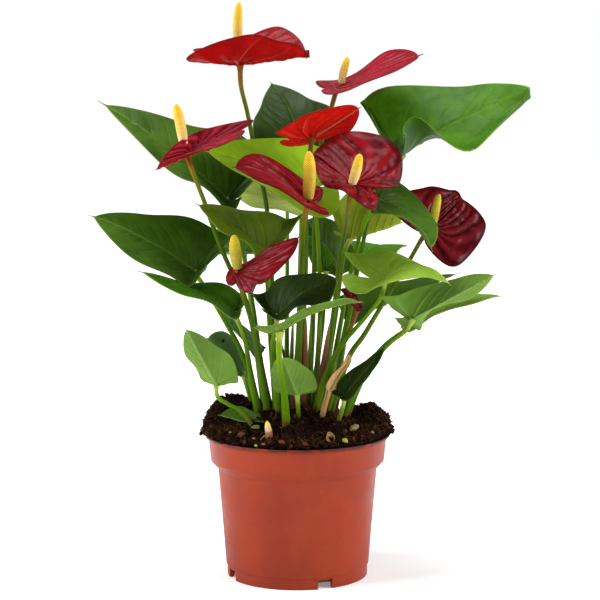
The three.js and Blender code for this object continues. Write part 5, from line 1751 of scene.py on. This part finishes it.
def makeRootTip():
    foot, top = rootPoint(rootTip["root"]), place(rootTip["top"])
    share = rootTip["bendAt"]
    bend = foot * (1 - share) + top * share + np.array([rootTip["bend"], 0, 0]) * mm

    def radiusAt(w, whole):
        end = max(rootTip["least"], 1 - (w / whole) ** rootTip["blunt"])
        return rootTip["radius"] * mm * math.sqrt(end)

    mesh = barMesh("root_tip", [foot, bend, top], radiusAt, rootTip["sides"], rootTip["steps"])
    adopt(bareObject("grown_root_tip", mesh, [makeRootSkin()]), "root_tip")


# Small things lying on the peat, each where its pixel meets the heap. long and wide are half sizes in
# mm.
pellets = [
    {"at": [256, 429], "long": 3.0, "wide": 1.6, "color": (0.20, 0.26, 0.03)},
    {"at": [254, 441], "long": 1.4, "wide": 1.1, "color": (0.42, 0.38, 0.04)},
    {"at": [256, 447], "long": 1.3, "wide": 1.1, "color": (0.46, 0.40, 0.05)},
    {"at": [231, 434], "long": 1.6, "wide": 1.1, "color": (0.40, 0.30, 0.05)},
    {"at": [345, 443], "long": 2.2, "wide": 1.9, "color": (0.50, 0.42, 0.05)},
    {"at": [354, 432], "long": 3.4, "wide": 2.5, "color": (0.36, 0.26, 0.10)},
    {"at": [372, 435], "long": 2.0, "wide": 1.3, "color": (0.34, 0.20, 0.09)},
    {"at": [241, 437], "long": 2.6, "wide": 1.9, "color": (0.17, 0.045, 0.016)},
    {"at": [282, 445], "long": 2.8, "wide": 1.9, "color": (0.15, 0.040, 0.014)},
    {"at": [305, 446], "long": 2.2, "wide": 1.6, "color": (0.12, 0.035, 0.012)},
]
pelletShape = {
    "size": 0.95, "height": 0.8, "raised": 0.75, "turn": 1.3, "tilt": 0.5, "tiltTurn": 2.1,
    "lumps": [1.6, 0.3], "darker": 0.45, "patches": {"scale": 900, "low": 0.35, "high": 0.65},
    "grain": 1200, "roughness": 0.7, "specular": 0.2, "bump": {"strength": 0.4, "distance": 0.0004},
}
peatSearch = {"from": -75, "to": 10, "step": 0.5}  # depths in mm, from the front backwards


def spotOnPeat(across, down):
    depth = peatSearch["from"]
    while depth < peatSearch["to"]:
        x, y, z = (part / mm for part in place([across, down, depth]))
        if z <= lumpyHeight(x, y):
            break
        depth += peatSearch["step"]
    return Vector((x, y, lumpyHeight(x, y))) * mm


def makePelletSkin(number, color):
    look = pelletShape
    material, tree, shader = newMaterial(f"pelletSkin{number}", look["roughness"], look["specular"])
    color = patchy(tree, shaded(color, look["darker"]), color, **look["patches"])
    coverWith(tree, shader, color, mottle(tree, look["grain"]), **look["bump"])
    return material


def makePellet(number, pellet):
    shape = pelletShape
    bpy.ops.mesh.primitive_ico_sphere_add(subdivisions=3, radius=1)
    piece = bpy.context.object
    piece.name = f"pellet_{number}"
    spot = spotOnPeat(*pellet["at"]) + Vector((0, 0, shape["raised"] * pellet["wide"] * mm))
    tilt = shape["tilt"] * math.sin(number * shape["tiltTurn"])
    turn = Matrix.Rotation(number * shape["turn"], 3, "Z") @ Matrix.Rotation(tilt, 3, "Y")
    size = Vector((pellet["long"], pellet["wide"], pellet["wide"] * shape["height"]))
    size *= mm * shape["size"]
    fine, high = shape["lumps"]
    for vertex in piece.data.vertices:
        rough = 1 + high * noise.noise(vertex.co * fine + Vector((number, 0, 0)))
        vertex.co = turn @ (vertex.co * rough * size) + spot
    bpy.ops.object.shade_smooth()
    piece.select_set(False)
    piece.data.materials.append(makePelletSkin(number, pellet["color"]))
    return piece


# Thin roots that lie on the peat below the pale root tip, in mm.
rootlets = {
    "spots": [[[265, 436], [261, 440], [259, 446]], [[258, 445], [264, 445], [269, 445]]],
    "radius": 0.42, "foot": 1.1, "thinner": 0.6, "raised": 0.3, "sides": 8, "steps": 6, "tone": 1.1,
}


def makeRootlet(number, spots):
    raised = Vector((0, 0, rootlets["raised"] * mm))
    points = [np.array(spotOnPeat(*spot) + raised) for spot in spots]

    def radiusAt(w, whole):
        return rootlets["radius"] * mm * (rootlets["foot"] - rootlets["thinner"] * w / whole)

    mesh = barMesh(f"rootlet_{number}", points, radiusAt, rootlets["sides"], rootlets["steps"])
    return bareObject(f"rootlet_{number}", mesh, [])


makeStub()
makeRootTip()
adopt(joined(*[makePellet(number, pellet) for number, pellet in enumerate(pellets)]), "soil")
thinRoots = joined(*[makeRootlet(number, spots) for number, spots in enumerate(rootlets["spots"])])
thinRoots.data.materials.append(makeStubSkin("thinRoot", rootlets["tone"]))
adopt(thinRoots, "root_tip")
print("small things made")


# The floor glows faintly, more so further out, so that it looks plain white all over.
floorLook = {
    "size": 12, "roughness": 0.9, "specular": 0.1, "color": (0.90, 0.90, 0.90),
    "paler": (0.93, 0.93, 0.93), "patches": {"scale": 3, "detail": 2, "low": 0.2, "high": 0.8},
    "glow": (1, 1, 1, 1), "glowFrom": 0.05, "glowTo": 0.9, "glowNear": 0.22, "glowFar": 1.0,
}
lamps = [
    {"name": "left", "spot": (-1.3, -0.35, 0.85), "size": 0.9, "power": 24, "color": (1.0, 0.99, 0.96)},
    {"name": "right", "spot": (1.3, -0.30, 0.75), "size": 0.9, "power": 24, "color": (0.98, 0.99, 1.0)},
    {"name": "top", "spot": (-0.15, 0.0, 1.5), "size": 0.8, "power": 17, "color": (1.0, 1.0, 1.0)},
]
lampAim = Vector((0, 0, 0.2))
# A white room: bright round the horizon, dimmer overhead.
roomLook = {"bright": (1.0, 1.0, 1.0), "overhead": (0.24, 0.25, 0.27), "dimFrom": 0.10, "dimTo": 0.16}


def makeFloor():
    look = floorLook
    bpy.ops.mesh.primitive_plane_add(size=look["size"], location=(0, 0, 0))
    floor = bpy.context.object
    floor.name = "floor"
    material, tree, shader = newMaterial("floor", look["roughness"], look["specular"])
    color = patchy(tree, look["color"], look["paler"], **look["patches"])
    tree.links.new(color, shader.inputs["Base Color"])
    shader.inputs["Emission Color"].default_value = look["glow"]
    away = vectorMaths(tree, "LENGTH", coordinatesOf(tree))["Value"]
    glow = remap(tree, away, look["glowFrom"], look["glowTo"], look["glowNear"], look["glowFar"])
    tree.links.new(glow, shader.inputs["Emission Strength"])
    floor.data.materials.append(material)
    return floor


def facing(direction):
    return direction.to_track_quat("-Z", "Y").to_euler()


floor = makeFloor()

aim = facing(viewpoint["aim"] - viewpoint["eye"])
bpy.ops.object.camera_add(location=viewpoint["eye"], rotation=aim)
camera = bpy.context.object
camera.data.sensor_width = viewpoint["sensor"]
camera.data.lens = viewpoint["focalPixels"] * viewpoint["sensor"] / viewpoint["imagePixels"]
camera.data.clip_start = viewpoint["clipStart"]
bpy.context.scene.camera = camera

for lamp in lamps:
    bpy.ops.object.light_add(type="AREA", location=lamp["spot"])
    light = bpy.context.object
    light.name = lamp["name"]
    light.data.energy = lamp["power"]
    light.data.size = lamp["size"]
    light.data.color = lamp["color"]
    light.rotation_euler = facing(lampAim - Vector(lamp["spot"]))

room = bpy.data.worlds.new("room")
bpy.context.scene.world = room
room.use_nodes = True
tree = room.node_tree
direction = addNode(tree, "ShaderNodeTexCoord").outputs["Generated"]
height = addNode(tree, "ShaderNodeSeparateXYZ", None, {"Vector": direction}).outputs["Z"]
overhead = remap(tree, height, roomLook["dimFrom"], roomLook["dimTo"])
color = blend(tree, overhead, roomLook["bright"], roomLook["overhead"])
tree.links.new(color, tree.nodes["Background"].inputs["Color"])
bpy.context.scene.view_settings.view_transform = "Standard"

bpy.ops.object.select_all(action="DESELECT")
print("scene ready")
